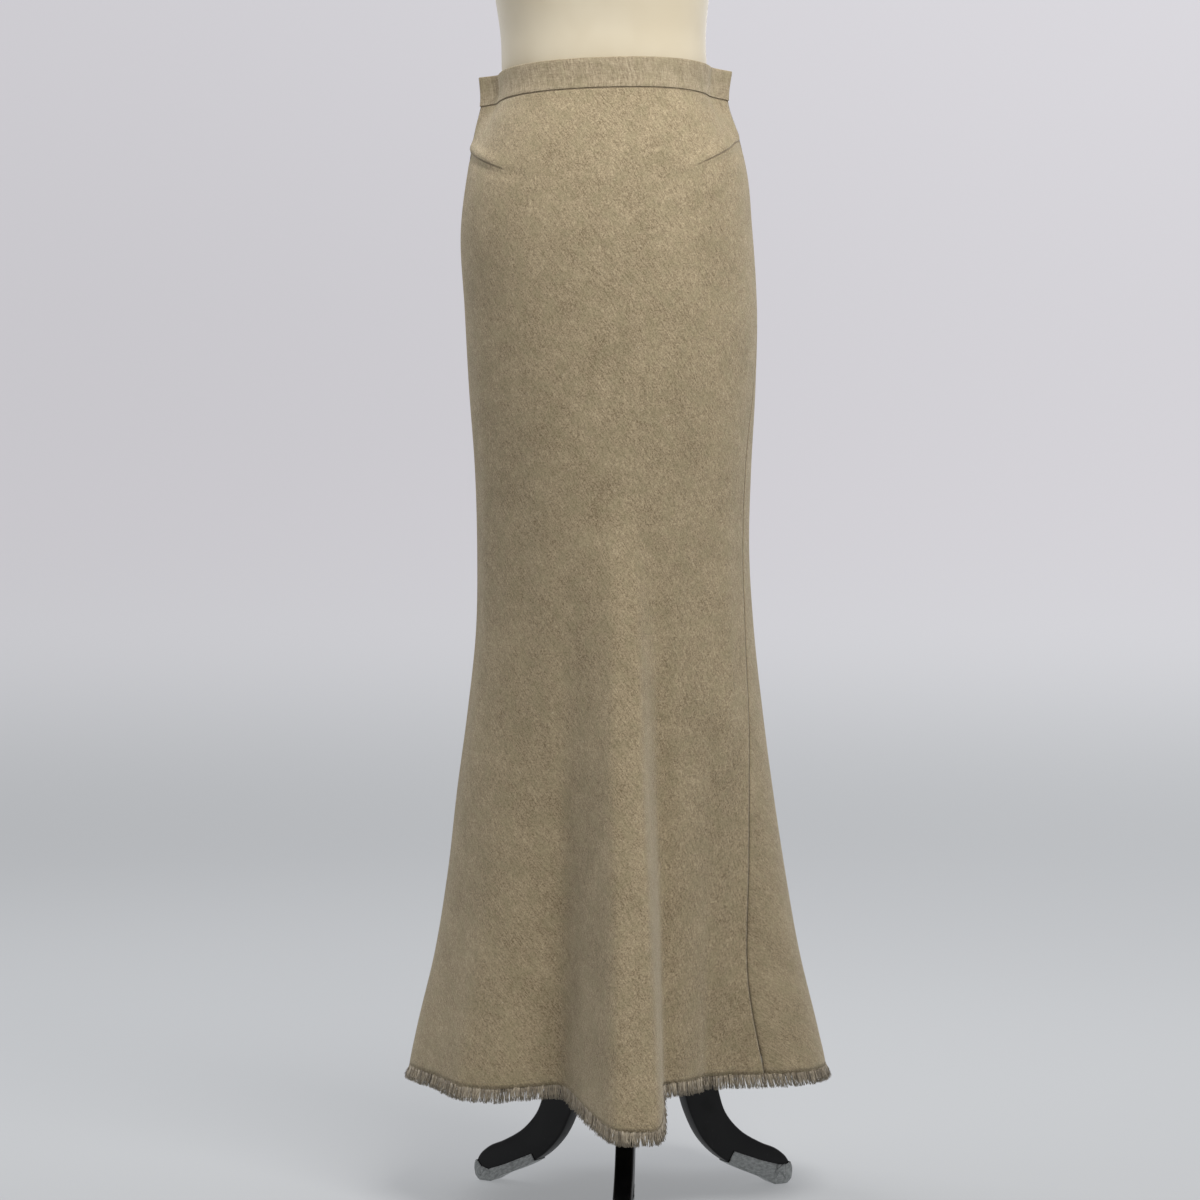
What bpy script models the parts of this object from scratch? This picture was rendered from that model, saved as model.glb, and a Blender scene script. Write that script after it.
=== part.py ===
"""A bias-cut maxi skirt with a frayed hem, worn by a limbless dress form on a three-legged stand.

Metres, +Z up. The front of the skirt faces -Y and the origin is on the floor, below the middle of
the object's box. Angles are in degrees round the skirt's axis: 0 is the front, 90 is +X, 180 the back.
"""

import math

import bmesh
import bpy
import numpy as np

for old in list(bpy.data.objects):
    bpy.data.objects.remove(old, do_unlink=True)

# Walls and clearances
GAP = 0.0003
CLOTH_WALL = 0.0014
BAND_WALL = 0.0024
FRINGE_WALL = 0.0012

# Where the side plane of the skirt and the form's post stand
SIDE_PLANE_Y = 0.019
POST_X = 0.0125

# Skirt
SEAM_HEIGHT = 1.0945
BAND_HEIGHT = 0.0297
BAND_RISE = 0.0030  # the seam stands this much higher at the right side than at the front
HEM_HEIGHT = 0.136
HEM_DIP = 0.19
HEM_TURN = 0.014
FRINGE_LENGTH = 0.014
PANEL_ROWS = 19
ROW_CROWDING = 1.35
FOLD_GROWTH = 1.25
FLANK_POWER = 1.6

# height, mid_x, half_width, front, back, ear, squareness: a row for each level of the skirt.
# ear is the length of the pinched point at each side, which half_width includes.
LEVELS = (
    (1.1300, -0.0117, 0.1268, 0.0915, 0.0905, 0.0195, 2.30),
    (1.0945, -0.0123, 0.1243, 0.0915, 0.0900, 0.0170, 2.30),
    (1.0686, -0.0112, 0.1313, 0.0980, 0.0965, 0.0120, 2.25),
    (1.0286, -0.0098, 0.1393, 0.1080, 0.1090, 0.0030, 2.20),
    (0.9686, -0.0105, 0.1455, 0.1170, 0.1220, 0.0000, 2.15),
    (0.8886, -0.0062, 0.1460, 0.1210, 0.1270, 0.0000, 2.10),
    (0.8086, -0.0048, 0.1430, 0.1215, 0.1240, 0.0000, 2.10),
    (0.7286, -0.0040, 0.1380, 0.1205, 0.1190, 0.0000, 2.05),
    (0.6486, -0.0038, 0.1360, 0.1190, 0.1150, 0.0000, 2.00),
    (0.5686, -0.0020, 0.1390, 0.1180, 0.1140, 0.0000, 2.00),
    (0.4886, -0.0018, 0.1475, 0.1175, 0.1180, 0.0000, 2.00),
    (0.4086, -0.0020, 0.1580, 0.1180, 0.1250, 0.0000, 2.00),
    (0.3286, -0.0006, 0.1685, 0.1195, 0.1350, 0.0000, 2.00),
    (0.2486, 0.0000, 0.1820, 0.1215, 0.1470, 0.0000, 2.00),
    (0.1686, 0.0002, 0.2010, 0.1240, 0.1630, 0.0000, 2.00),
    (0.1360, 0.0005, 0.2078, 0.1250, 0.1700, 0.0000, 2.00),
    (0.1000, 0.0005, 0.2110, 0.1260, 0.1730, 0.0000, 2.00),
)

# crest_from, crest_to, left_flank, right_flank, reach at the hem, height where the fold begins
FOLDS = {
    "front_main": (-1.0, 9.0, 25.0, 11.0, 0.1165, 0.70),
    "front_left": (-54.0, -43.0, 22.0, 24.0, 0.0250, 0.46),
    "front_right_hollow": (46.0, 58.0, 24.0, 20.0, -0.0360, 0.50),
    "side_left": (-121.0, -114.0, 16.0, 18.0, 0.0160, 0.48),
    "back_left": (-158.0, -149.0, 24.0, 26.0, 0.0420, 0.62),
    "back_right": (150.0, 158.0, 26.0, 20.0, 0.0480, 0.64),
    "side_right": (108.0, 115.0, 18.0, 18.0, 0.0150, 0.50),
}

# height, degrees: the side seams drift from the widest point
RIGHT_SEAM = (
    (1.100, 90.0),
    (0.950, 89.0),
    (0.850, 83.0),
    (0.760, 74.0),
    (0.630, 72.0),
    (0.500, 68.0),
    (0.350, 63.5),
    (0.230, 61.5),
    (0.136, 64.0),
)
LEFT_SEAM = ((1.100, -90.0), (0.950, -91.0), (0.600, -94.0), (0.136, -97.0))

# height, left, right: half spread of the pinched ear, in degrees either side of each side seam
EAR_SPREAD = (
    (1.140, 8.0, 13.0),
    (1.100, 8.5, 14.0),
    (1.075, 15.0, 18.0),
    (1.040, 28.0, 28.0),
    (1.000, 30.0, 30.0),
)

# Stations round the skirt, in degrees at the waist: close together on the front fold and the ears
FRONT_STATIONS = (
    -90, -86, -79, -70, -61, -52, -44, -36, -29, -22, -16, -10.5, -5.5, -1, 4, 9,
    11, 13.5, 16.5, 20, 26, 33, 41, 50, 60, 69, 77, 84, 90,
)  # fmt: skip
BACK_RIGHT_STATIONS = (90, 96, 103, 110, 118, 126, 134, 142, 150, 158, 165, 172, 180)
BACK_LEFT_STATIONS = (-180, -172, -165, -157, -149, -141, -133, -125, -117, -109, -101, -94, -90)
SEAM_PIVOT = 45.0

# Zip at the centre back: the band's ends stand a slit apart for the slider's neck
ZIP_SLIT = 0.0022
ZIP_TAPE_WIDTH = 0.0105
ZIP_TAPE_WALL = 0.0008
ZIP_LENGTH = 0.205
ZIP_TOP_SET_IN = 0.002
ZIP_LEAST_ROW = 0.01  # the zip's last row of points keeps this far above its lower end
ZIP_COIL_WIDTH = 0.0050
ZIP_COIL_WALL = 0.0012
SLIDER_WIDTH = 0.0074
SLIDER_HEIGHT = 0.0090
SLIDER_WALL = 0.0018
SLIDER_DROP = 0.0040
NECK_WIDTH = 0.0012
HINGE_OUT = 0.0012
LOOP_CLEAR = 0.0010
LOOP_BAR = 0.0009
TAB_PIN_RADIUS = 0.0006
TAB_WALL = 0.0011
TAB_ARM = 0.0009
TAB_EYE = 0.0032
TAB_LENGTH = 0.0200
TAB_WIDTH = 0.0060
TAB_TOP_WIDTH = 0.0036
TAB_WAIST_WIDTH = 0.0043

# Dress form and stand
FORM_LEAN = 0.0305
LEAN_FROM = 0.30
FORM_SIDES = 44
# height, half_width, front, back, squareness
FORM_LEVELS = (
    (0.8450, 0.1390, 0.1120, 0.1150, 2.10),
    (0.8750, 0.1415, 0.1160, 0.1190, 2.10),
    (0.9200, 0.1415, 0.1150, 0.1190, 2.15),
    (0.9700, 0.1395, 0.1110, 0.1140, 2.20),
    (1.0286, 0.1270, 0.1010, 0.1000, 2.25),
    (1.0700, 0.1110, 0.0925, 0.0880, 2.30),
    (1.0950, 0.1026, 0.0884, 0.0825, 2.30),
    (1.1300, 0.1024, 0.0883, 0.0815, 2.30),
    (1.1550, 0.1022, 0.0879, 0.0815, 2.30),
    (1.2000, 0.1068, 0.0930, 0.0840, 2.25),
    (1.2600, 0.1165, 0.1050, 0.0885, 2.20),
    (1.3200, 0.1285, 0.1200, 0.0940, 2.20),
    (1.3700, 0.1370, 0.1260, 0.0985, 2.20),
    (1.4200, 0.1450, 0.1160, 0.1020, 2.25),
    (1.4600, 0.1520, 0.1010, 0.1010, 2.30),
    (1.4850, 0.1530, 0.0890, 0.0960, 2.25),
    (1.5050, 0.1360, 0.0770, 0.0850, 2.15),
    (1.5200, 0.1060, 0.0660, 0.0730, 2.10),
    (1.5350, 0.0760, 0.0570, 0.0610, 2.05),
    (1.5550, 0.0580, 0.0520, 0.0540, 2.00),
    (1.5850, 0.0530, 0.0500, 0.0500, 2.00),
)
CAP_HEIGHT = 0.010
CAP_OVERHANG = 0.003
BOARD_HEIGHT = 0.009
BOARD_SET_IN = 0.002
POST_RADIUS = 0.011
HUB_RADIUS = 0.022
HUB_BOTTOM = 0.13
HUB_TOP = 0.32
LEG_THICKNESS = 0.018
LEG_DIRECTIONS = {"front": -3.0, "right": 117.0, "left": -123.0}
LEG_SOLE = 0.0015
# radius from the post, height: the leg's upper outline from the hub to the toe, then its underside
LEG_UPPER = (
    (0.0223, 0.3000),
    (0.0420, 0.2620),
    (0.0750, 0.2000),
    (0.0925, 0.1400),
    (0.0985, 0.1000),
    (0.1055, 0.0800),
    (0.1225, 0.0600),
    (0.1480, 0.0445),
    (0.1670, 0.0360),
    (0.1790, 0.0250),
    (0.1825, 0.0160),
    (0.1812, 0.0060),
    (0.1775, LEG_SOLE),
)
LEG_UNDER = (
    (0.1630, LEG_SOLE),
    (0.1510, 0.0085),
    (0.1340, 0.0155),
    (0.1160, 0.0239),
    (0.0990, 0.0345),
    (0.0795, 0.0542),
    (0.0650, 0.0817),
    (0.0550, 0.1120),
    (0.0223, 0.1620),
)
TAPE_WALL = 0.0012
# radius, height: the upper border of the tape round each foot, from its inner end to the toe
WIDE_BORDER = (
    (0.1075, 0.0290),
    (0.1120, 0.0400),
    (0.1480, 0.0265),
    (0.1670, 0.0208),
    (0.1900, 0.0185),
)
NARROW_BORDER = (
    (0.1085, 0.0284),
    (0.1115, 0.0350),
    (0.1480, 0.0192),
    (0.1700, 0.0118),
    (0.1750, 0.0175),
    (0.1900, 0.0185),
)
TAPE_BORDERS = {"front": WIDE_BORDER, "right": WIDE_BORDER, "left": NARROW_BORDER}
TOE_FROM = 0.1755

# colour, roughness, metallic
FINISHES = {
    "linen": ((0.31, 0.24, 0.155), 0.88, 0.0),
    "fringe_yarn": ((0.29, 0.25, 0.19), 0.92, 0.0),
    "zip_tape": ((0.27, 0.21, 0.14), 0.85, 0.0),
    "zip_metal": ((0.52, 0.46, 0.36), 0.35, 1.0),
    "form_cloth": ((0.68, 0.60, 0.47), 0.80, 0.0),
    "black_lacquer": ((0.012, 0.012, 0.013), 0.30, 0.0),
    "grey_tape": ((0.33, 0.35, 0.35), 0.42, 0.3),
}


def smooth(table, at):
    """The table's columns after the first, read at `at` from a smooth curve through its rows."""
    rows = np.array(sorted(table), float)
    known, values = rows[:, 0], rows[:, 1:]
    slopes = np.gradient(values, known, axis=0)
    at = np.asarray(at, float)
    low = np.clip(np.searchsorted(known, at) - 1, 0, len(known) - 2)
    step = (known[low + 1] - known[low])[..., None]
    t = np.clip((at - known[low])[..., None] / step, 0.0, 1.0)
    ends = values[low] * (2 * t**3 - 3 * t**2 + 1) + values[low + 1] * (3 * t**2 - 2 * t**3)
    pulls = slopes[low] * (t**3 - 2 * t**2 + t) + slopes[low + 1] * (t**3 - t**2)
    return ends + pulls * step


def turn_between(angle, start):
    """How far `angle` lies past `start`, in degrees from -180 to 180."""
    return (np.asarray(angle, float) - start + 180.0) % 360.0 - 180.0


def oval_radius(angle, half, front, back, squareness):
    """Radius of a rounded oval: |x / half|^n + |y / depth|^n = 1, deeper or shallower at the back."""
    turned = np.radians(angle)
    depth = np.where(np.cos(turned) >= 0, front, back)
    across = np.abs(np.sin(turned)) / half
    along = np.abs(np.cos(turned)) / depth
    return (across**squareness + along**squareness) ** (-1.0 / squareness)


def fold_height(angle, crest_from, crest_to, left_flank, right_flank):
    """1 along a fold's crest, falling as (1 - t)^p down each flank to 0 at its foot."""
    middle = (crest_from + crest_to) / 2
    past = turn_between(angle, middle)
    crest = (crest_to - crest_from) / 2
    flank = np.where(past < 0, left_flank, right_flank)
    return np.clip(1 - (np.abs(past) - crest) / flank, 0.0, 1.0) ** FLANK_POWER


def fold_reach(angle, height):
    """Sum of all the folds at this angle, each growing from its own height down to the hem."""
    total = np.zeros(np.broadcast(angle, height).shape)
    for crest_from, crest_to, left_flank, right_flank, reach, begins in FOLDS.values():
        grown = np.clip((begins - height) / (begins - HEM_HEIGHT), 0.0, 1.3) ** FOLD_GROWTH
        total = total + reach * grown * fold_height(angle, crest_from, crest_to, left_flank, right_flank)
    return total


def ear_reach(angle, height, ear):
    """The pinched points of the waist at both sides, which open out into the hips."""
    left, right = np.moveaxis(smooth(EAR_SPREAD, height), -1, 0)
    spread = np.where(np.asarray(angle) < 0, left, right)
    off = np.abs(np.abs(angle) - 90.0)
    return ear * np.clip(1 - off / spread, 0.0, 1.0) ** FLANK_POWER


def skirt_point(angle, height):
    """Outer surface of the skirt at these angles and heights, as x, y, z."""
    mid_x, half, front, back, ear, squareness = np.moveaxis(smooth(LEVELS, height), -1, 0)
    radius = oval_radius(angle, half - ear, front, back, squareness)
    radius = radius + ear_reach(angle, height, ear) + fold_reach(angle, height)
    turned = np.radians(angle)
    x = mid_x + radius * np.sin(turned)
    y = SIDE_PLANE_Y - radius * np.cos(turned)
    return np.stack(np.broadcast_arrays(x, y, height), axis=-1)


def seam_height(angle):
    """Height of the waist seam, which tips with the form."""
    return SEAM_HEIGHT + BAND_RISE * np.sin(np.radians(angle))


def hem_height(angle):
    """Height of the cut edge: the cloth that stands out in a fold hangs lower."""
    return HEM_HEIGHT - HEM_DIP * np.maximum(fold_reach(angle, HEM_HEIGHT), 0.0)


def drifted(station, height):
    """A station's angle at this height: those within a quarter turn of a side seam drift with it."""
    seam = np.where(station < 0, smooth(LEFT_SEAM, height)[..., 0], smooth(RIGHT_SEAM, height)[..., 0])
    side = np.where(station < 0, -90.0, 90.0)
    share = np.clip(1 - np.abs(station - side) / SEAM_PIVOT, 0.0, 1.0)
    return station + (seam - side) * share


def inward(ring, depth):
    """The ring's points moved in by depth, square to both of the edges that meet at each point."""
    flat = ring[:, :2]
    edges = np.roll(flat, -1, axis=0) - flat
    edges = edges / np.linalg.norm(edges, axis=1, keepdims=True)
    after = np.stack([-edges[:, 1], edges[:, 0]], axis=1)
    before = np.roll(after, 1, axis=0)
    mitre = (after + before) / (1 + (after * before).sum(axis=1, keepdims=True))
    moved = ring.copy()
    moved[:, :2] = flat + depth * mitre
    return moved


def ring_stations():
    """Every station once round, from the centre back by the left, the front and the right."""
    return np.array(BACK_LEFT_STATIONS[:-1] + FRONT_STATIONS + BACK_RIGHT_STATIONS[1:-1], float)


def skirt_rings():
    """Rows of the body of the skirt, from below the waist seam to the hem, as rings of points."""
    stations = ring_stations()
    top = seam_height(stations) - GAP / 2
    rough_hem = hem_height(drifted(stations, HEM_HEIGHT))
    shares = np.linspace(0.0, 1.0, PANEL_ROWS - 1) ** ROW_CROWDING
    rows = []
    for share in shares:
        height = top + (rough_hem + HEM_TURN - top) * share
        rows.append(skirt_point(drifted(stations, height), height))
    rows.append(skirt_point(drifted(stations, rough_hem), rough_hem))
    return np.array(rows)


def columns(first, last):
    """Indices of the ring's points between two stations, wrapping at the centre back."""
    stations = list(ring_stations())
    start = stations.index(first)
    end = stations.index(last) if last != 180 else len(stations)
    return [k % len(stations) for k in range(start, end + 1)]


def part_ends(outer, inner, by):
    """Pulls a wall's two upright ends in by `by`, along the wall, so that it clears its neighbours."""
    for end, beside in ((0, 1), (-1, -2)):
        wall = (inner[:, end] - outer[:, end])[:, :2]
        wall = wall / np.linalg.norm(wall, axis=1, keepdims=True)
        away = np.stack([-wall[:, 1], wall[:, 0]], axis=1)
        towards = (outer[:, beside] - outer[:, end])[:, :2]
        sign = np.sign((away * towards).sum(axis=1, keepdims=True))
        outer[:, end, :2] += away * sign * by
        inner[:, end, :2] += away * sign * by
    return outer, inner


def wall_mesh(outer, inner, closed=False):
    """Points and triangles of a wall between two grids (rows down, columns along), edges closed."""
    rows, cols = outer.shape[:2]
    points = np.concatenate([outer.reshape(-1, 3), inner.reshape(-1, 3)])
    shift = rows * cols
    faces = []
    for i in range(cols if closed else cols - 1):
        k = (i + 1) % cols
        for j in range(rows - 1):
            a, b, c, d = j * cols + i, (j + 1) * cols + i, (j + 1) * cols + k, j * cols + k
            faces += [(a, b, c), (a, c, d)]
            faces += [(a + shift, c + shift, b + shift), (a + shift, d + shift, c + shift)]
        low, low_next = (rows - 1) * cols + i, (rows - 1) * cols + k
        faces += [(i, k, k + shift), (i, k + shift, i + shift)]
        faces += [(low, low_next + shift, low_next), (low, low + shift, low_next + shift)]
    for i, turned in () if closed else ((0, False), (cols - 1, True)):
        for j in range(rows - 1):
            a, b = j * cols + i, (j + 1) * cols + i
            pair = [(a, a + shift, b + shift), (a, b + shift, b)]
            faces += [tri[::-1] for tri in pair] if turned else pair
    return points, faces


def add_object(name, points, faces, finish, parent=None, smooth_angle=None):
    """One named object with its own material, its mesh about its parent's origin."""
    mesh = bpy.data.meshes.new(name)
    mesh.from_pydata([tuple(map(float, p)) for p in points], [], [tuple(map(int, f)) for f in faces])
    mesh.validate()
    colour, roughness, metallic = FINISHES[finish]
    material = bpy.data.materials.new(f"{name}_{finish}")
    material.use_nodes = True
    shader = material.node_tree.nodes["Principled BSDF"]
    shader.inputs["Base Color"].default_value = (*colour, 1.0)
    shader.inputs["Roughness"].default_value = roughness
    shader.inputs["Metallic"].default_value = metallic
    mesh.materials.append(material)
    if smooth_angle:
        mesh.shade_smooth()
        mesh.set_sharp_from_angle(angle=math.radians(smooth_angle))
    made = bpy.data.objects.new(name, mesh)
    made.parent = parent
    bpy.context.collection.objects.link(made)
    return made


def add_empty(name, place):
    """An empty that carries pieces."""
    made = bpy.data.objects.new(name, None)
    made.empty_display_size = 0.02
    made.location = place
    bpy.context.collection.objects.link(made)
    return made


def add_panels(rings):
    """Front and two back panels, each a wall between its two seams."""
    inner = np.array([inward(ring, CLOTH_WALL) for ring in rings])
    panels = {
        "skirt_front": (-90, 90),
        "skirt_back_right": (90, 180),
        "skirt_back_left": (-180, -90),
    }
    for name, (first, last) in panels.items():
        cut = columns(first, last)
        walls = part_ends(rings[:, cut].copy(), inner[:, cut].copy(), GAP / 2)
        add_object(name, *wall_mesh(*walls), "linen", smooth_angle=50)


def band_rings():
    """Top and bottom rings of the waistband, its outer face."""
    stations = ring_stations()
    bottom = seam_height(stations) + GAP / 2
    return np.array([skirt_point(stations, bottom + BAND_HEIGHT), skirt_point(stations, bottom)])


def add_waistband():
    """One straight strip round the waist, its ends a slit apart at the centre back."""
    rings = band_rings()
    inner = np.array([inward(ring, BAND_WALL) for ring in rings])
    cut = columns(-180, 180)
    walls = part_ends(rings[:, cut].copy(), inner[:, cut].copy(), ZIP_SLIT / 2)
    add_object("waistband", *wall_mesh(*walls), "linen", smooth_angle=50)


def add_fringe(rings):
    """The frayed strip inside the hem: from the hem's turn down past the cut edge, ends at the back."""
    turn, edge = rings[-2], rings[-1]
    run = edge - turn
    down = run / np.linalg.norm(run, axis=1, keepdims=True)
    tips = edge + down * FRINGE_LENGTH
    rows = (turn, edge, tips)
    outer = np.array([inward(row, CLOTH_WALL + GAP) for row in rows])
    inner = np.array([inward(row, CLOTH_WALL + GAP + FRINGE_WALL) for row in rows])
    cut = columns(-180, 180)
    walls = part_ends(outer[:, cut].copy(), inner[:, cut].copy(), GAP / 2)
    add_object("hem_fringe", *wall_mesh(*walls), "fringe_yarn", smooth_angle=50)


def beside_centre_back(rows, beside, along, depth):
    """Points `along` metres from the centre back on its last facet and `depth` inside the outer face."""
    centre = rows[:, 0]
    towards = (rows[:, beside] - centre)[:, :2]
    towards = towards / np.linalg.norm(towards, axis=1, keepdims=True)
    square = np.stack([-towards[:, 1], towards[:, 0]], axis=1)
    square = square * np.where(square[:, 1:] > 0, -1.0, 1.0)
    points = centre.copy()
    points[:, :2] += towards * along + square * depth
    return points


def zip_rows(rings):
    """Rings that the zip lies against, from just below the band's top to its lower end."""
    band_top, band_bottom = band_rings()
    top = band_top + (band_bottom - band_top) * (ZIP_TOP_SET_IN / BAND_HEIGHT)
    floor = band_top[0, 2] - ZIP_LENGTH
    rows = [top, band_bottom] + [ring for ring in rings[1:] if ring[0, 2] > floor + ZIP_LEAST_ROW]
    last = rings[len(rows) - 1]
    before = rows[-1]
    share = (before[0, 2] - floor) / (before[0, 2] - last[0, 2])
    rows.append(before + (last - before) * share)
    return np.array(rows)


def slider_place():
    """Middle of the slider's neck on the band's outer face, at the centre back."""
    band_top = band_rings()[0][0]
    height = band_top[2] - SLIDER_DROP - SLIDER_HEIGHT / 2
    return np.array([band_top[0], band_top[1], height])


def add_zip(rings):
    """Two tapes and the closed coil inside the centre back; the slider's neck stands in the slit."""
    rows = zip_rows(rings)
    last_column = rows.shape[1] - 1
    lie = BAND_WALL + GAP
    for name, beside in (("zip_tape_right", last_column), ("zip_tape_left", 1)):
        edges = (ZIP_SLIT / 2, ZIP_SLIT / 2 + ZIP_TAPE_WIDTH)
        outer, inner = (
            np.stack([beside_centre_back(rows, beside, edge, depth) for edge in edges], axis=1)
            for depth in (lie, lie + ZIP_TAPE_WALL)
        )
        if beside == 1:
            outer, inner = outer[:, ::-1], inner[:, ::-1]
        points, faces = wall_mesh(outer, inner)
        add_object(name, points, [f[::-1] for f in faces], "zip_tape")
    place = slider_place()
    under_slider = place[2] - SLIDER_HEIGHT / 2 - GAP
    share = (rows[0, 0, 2] - under_slider) / (rows[0, 0, 2] - rows[1, 0, 2])
    coil = np.insert(rows[1:], 0, rows[0] + (rows[1] - rows[0]) * share, axis=0)
    depth = lie + ZIP_TAPE_WALL + GAP
    outer, inner = [], []
    for beside in (last_column, 1):
        outer.append(beside_centre_back(coil, beside, ZIP_COIL_WIDTH / 2, depth))
        inner.append(beside_centre_back(coil, beside, ZIP_COIL_WIDTH / 2, depth + ZIP_COIL_WALL))
    add_object("zip_coil", *wall_mesh(np.stack(outer, axis=1), np.stack(inner, axis=1)), "zip_tape")
    add_slider(place, depth)
    add_pull_tab(place)


def box_points(low, high):
    """Corners and faces of an upright box."""
    xs, ys, zs = zip(low, high)
    points = [(x, y, z) for x in xs for y in ys for z in zs]
    faces = [(0, 1, 3, 2), (4, 6, 7, 5), (0, 4, 5, 1), (2, 3, 7, 6), (0, 2, 6, 4), (1, 5, 7, 3)]
    return points, faces


def join_boxes(name, boxes, finish, parent=None, cutter=None):
    """Boxes that overlap, united into one body by exact Booleans."""
    first = add_object(name, *box_points(*boxes[0]), finish, parent)
    for number, box in enumerate(boxes[1:]):
        helper = add_object(f"{name}_join_{number}", *box_points(*box), finish, parent)
        add_boolean(first, helper, "UNION")
    if cutter:
        add_boolean(first, cutter, "DIFFERENCE")
    return first


def add_boolean(target, helper, operation):
    """A live exact Boolean whose helper isn't a piece of the object."""
    helper.hide_render = True
    helper.display_type = "WIRE"
    change = target.modifiers.new(helper.name, "BOOLEAN")
    change.operation = operation
    change.solver = "EXACT"
    change.object = helper


def add_slider(place, depth):
    """Slider body inside the tapes, a thin neck through the slit, and the loop that holds the tab."""
    x, face, mid = place
    hinge = face + HINGE_OUT
    reach = LOOP_CLEAR + LOOP_BAR
    half_neck = NECK_WIDTH / 2
    body_face = face - depth - GAP
    body = ((x - SLIDER_WIDTH / 2, body_face - SLIDER_WALL, mid - SLIDER_HEIGHT / 2),
            (x + SLIDER_WIDTH / 2, body_face, mid + SLIDER_HEIGHT / 2))
    lower = ((x - half_neck, body_face - SLIDER_WALL / 2, mid - reach),
             (x + half_neck, hinge + reach, mid - LOOP_CLEAR))
    upper = ((x - half_neck, body_face - SLIDER_WALL / 2, mid + LOOP_CLEAR),
             (x + half_neck, hinge + reach, mid + reach))
    front = ((x - half_neck, hinge + LOOP_CLEAR, mid - reach + LOOP_BAR / 2),
             (x + half_neck, hinge + reach, mid + reach - LOOP_BAR / 2))
    join_boxes("zip_slider", (body, lower, upper, front), "zip_metal")


def add_pull_tab(place):
    """Drop-shaped tab that hangs from its own cross pin inside the slider's loop."""
    hinge = add_empty("zip_pull_hinge", (place[0], place[1] + HINGE_OUT, place[2]))
    top, waist, round_half = TAB_TOP_WIDTH / 2, TAB_WAIST_WIDTH / 2, TAB_WIDTH / 2
    turns = np.linspace(0, math.pi, 11)
    outline = [(top, TAB_PIN_RADIUS), (waist, -TAB_EYE)]
    outline += [
        (round_half * math.cos(a), -TAB_LENGTH + round_half * (1 - math.sin(a))) for a in turns
    ]
    outline += [(-waist, -TAB_EYE), (-top, TAB_PIN_RADIUS)]
    tab = prism("zip_pull", outline, TAB_WALL, "zip_metal", hinge)
    inside = top - TAB_ARM
    eye = ((-inside, -2 * TAB_WALL, -TAB_EYE), (inside, 2 * TAB_WALL, -TAB_PIN_RADIUS))
    cutter = add_object("zip_pull_eye", *box_points(*eye), "zip_metal", hinge)
    add_boolean(tab, cutter, "DIFFERENCE")


def prism(name, outline, thickness, finish, parent=None, smooth_angle=None):
    """An outline in the X-Z plane, given thickness either side of it along Y."""
    shape = bmesh.new()
    ring = [shape.verts.new((x, -thickness / 2, z)) for x, z in outline]
    face = shape.faces.new(ring)
    moved = bmesh.ops.extrude_face_region(shape, geom=[face])["geom"]
    lifted = [v for v in moved if isinstance(v, bmesh.types.BMVert)]
    bmesh.ops.translate(shape, vec=(0, thickness, 0), verts=lifted)
    bmesh.ops.recalc_face_normals(shape, faces=shape.faces)
    shape.verts.index_update()
    points = [tuple(v.co) for v in shape.verts]
    faces = [[v.index for v in f.verts] for f in shape.faces]
    shape.free()
    return add_object(name, points, faces, finish, parent, smooth_angle)


def form_middle(height):
    """Where the form's leaning axis stands at this height."""
    return POST_X - FORM_LEAN * (height - LEAN_FROM)


def lofted(name, levels, finish, sides=FORM_SIDES, steps=2):
    """A closed body through oval levels, each centred on the form's leaning axis."""
    known = [row[0] for row in levels]
    heights = np.unique(np.concatenate([np.linspace(a, b, steps + 1) for a, b in zip(known, known[1:])]))
    angles = np.linspace(0, 360, sides, endpoint=False)
    half, front, back, squareness = np.moveaxis(smooth(levels, heights), -1, 0)[..., None]
    radius = oval_radius(angles[None, :], half, front, back, squareness)
    turned = np.radians(angles)
    x = form_middle(heights)[:, None] + radius * np.sin(turned)
    y = SIDE_PLANE_Y - radius * np.cos(turned)
    z = np.broadcast_to(heights[:, None], x.shape)
    points = list(np.stack([x, y, z], axis=-1).reshape(-1, 3))
    rows = len(heights)
    faces = []
    for j in range(rows - 1):
        for i in range(sides):
            k = (i + 1) % sides
            faces.append((j * sides + i, j * sides + k, (j + 1) * sides + k, (j + 1) * sides + i))
    faces.append(tuple(reversed(range(sides))))
    faces.append(tuple(range((rows - 1) * sides, rows * sides)))
    return add_object(name, points, faces, finish, smooth_angle=40)


def add_form():
    """The padded torso, the cap on its neck and the board under it."""
    lofted("form_torso", FORM_LEVELS, "form_cloth", steps=1)
    top, half, front, back, squareness = FORM_LEVELS[-1]
    seat = top + GAP
    rim = CAP_OVERHANG
    cap = (
        (seat, half + rim * 0.6, front + rim * 0.6, back + rim * 0.6, squareness),
        (seat + CAP_HEIGHT * 0.3, half + rim, front + rim, back + rim, squareness),
        (seat + CAP_HEIGHT * 0.7, half + rim * 0.6, front + rim * 0.6, back + rim * 0.6, squareness),
        (seat + CAP_HEIGHT, half - rim * 2, front - rim * 2, back - rim * 2, squareness),
    )
    lofted("form_neck_cap", cap, "black_lacquer", steps=1)
    bottom, half, front, back, squareness = FORM_LEVELS[0]
    size = (half - BOARD_SET_IN, front - BOARD_SET_IN, back - BOARD_SET_IN, squareness)
    under = bottom - GAP
    lofted("form_board", ((under - BOARD_HEIGHT, *size), (under, *size)), "black_lacquer", steps=1)


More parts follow.
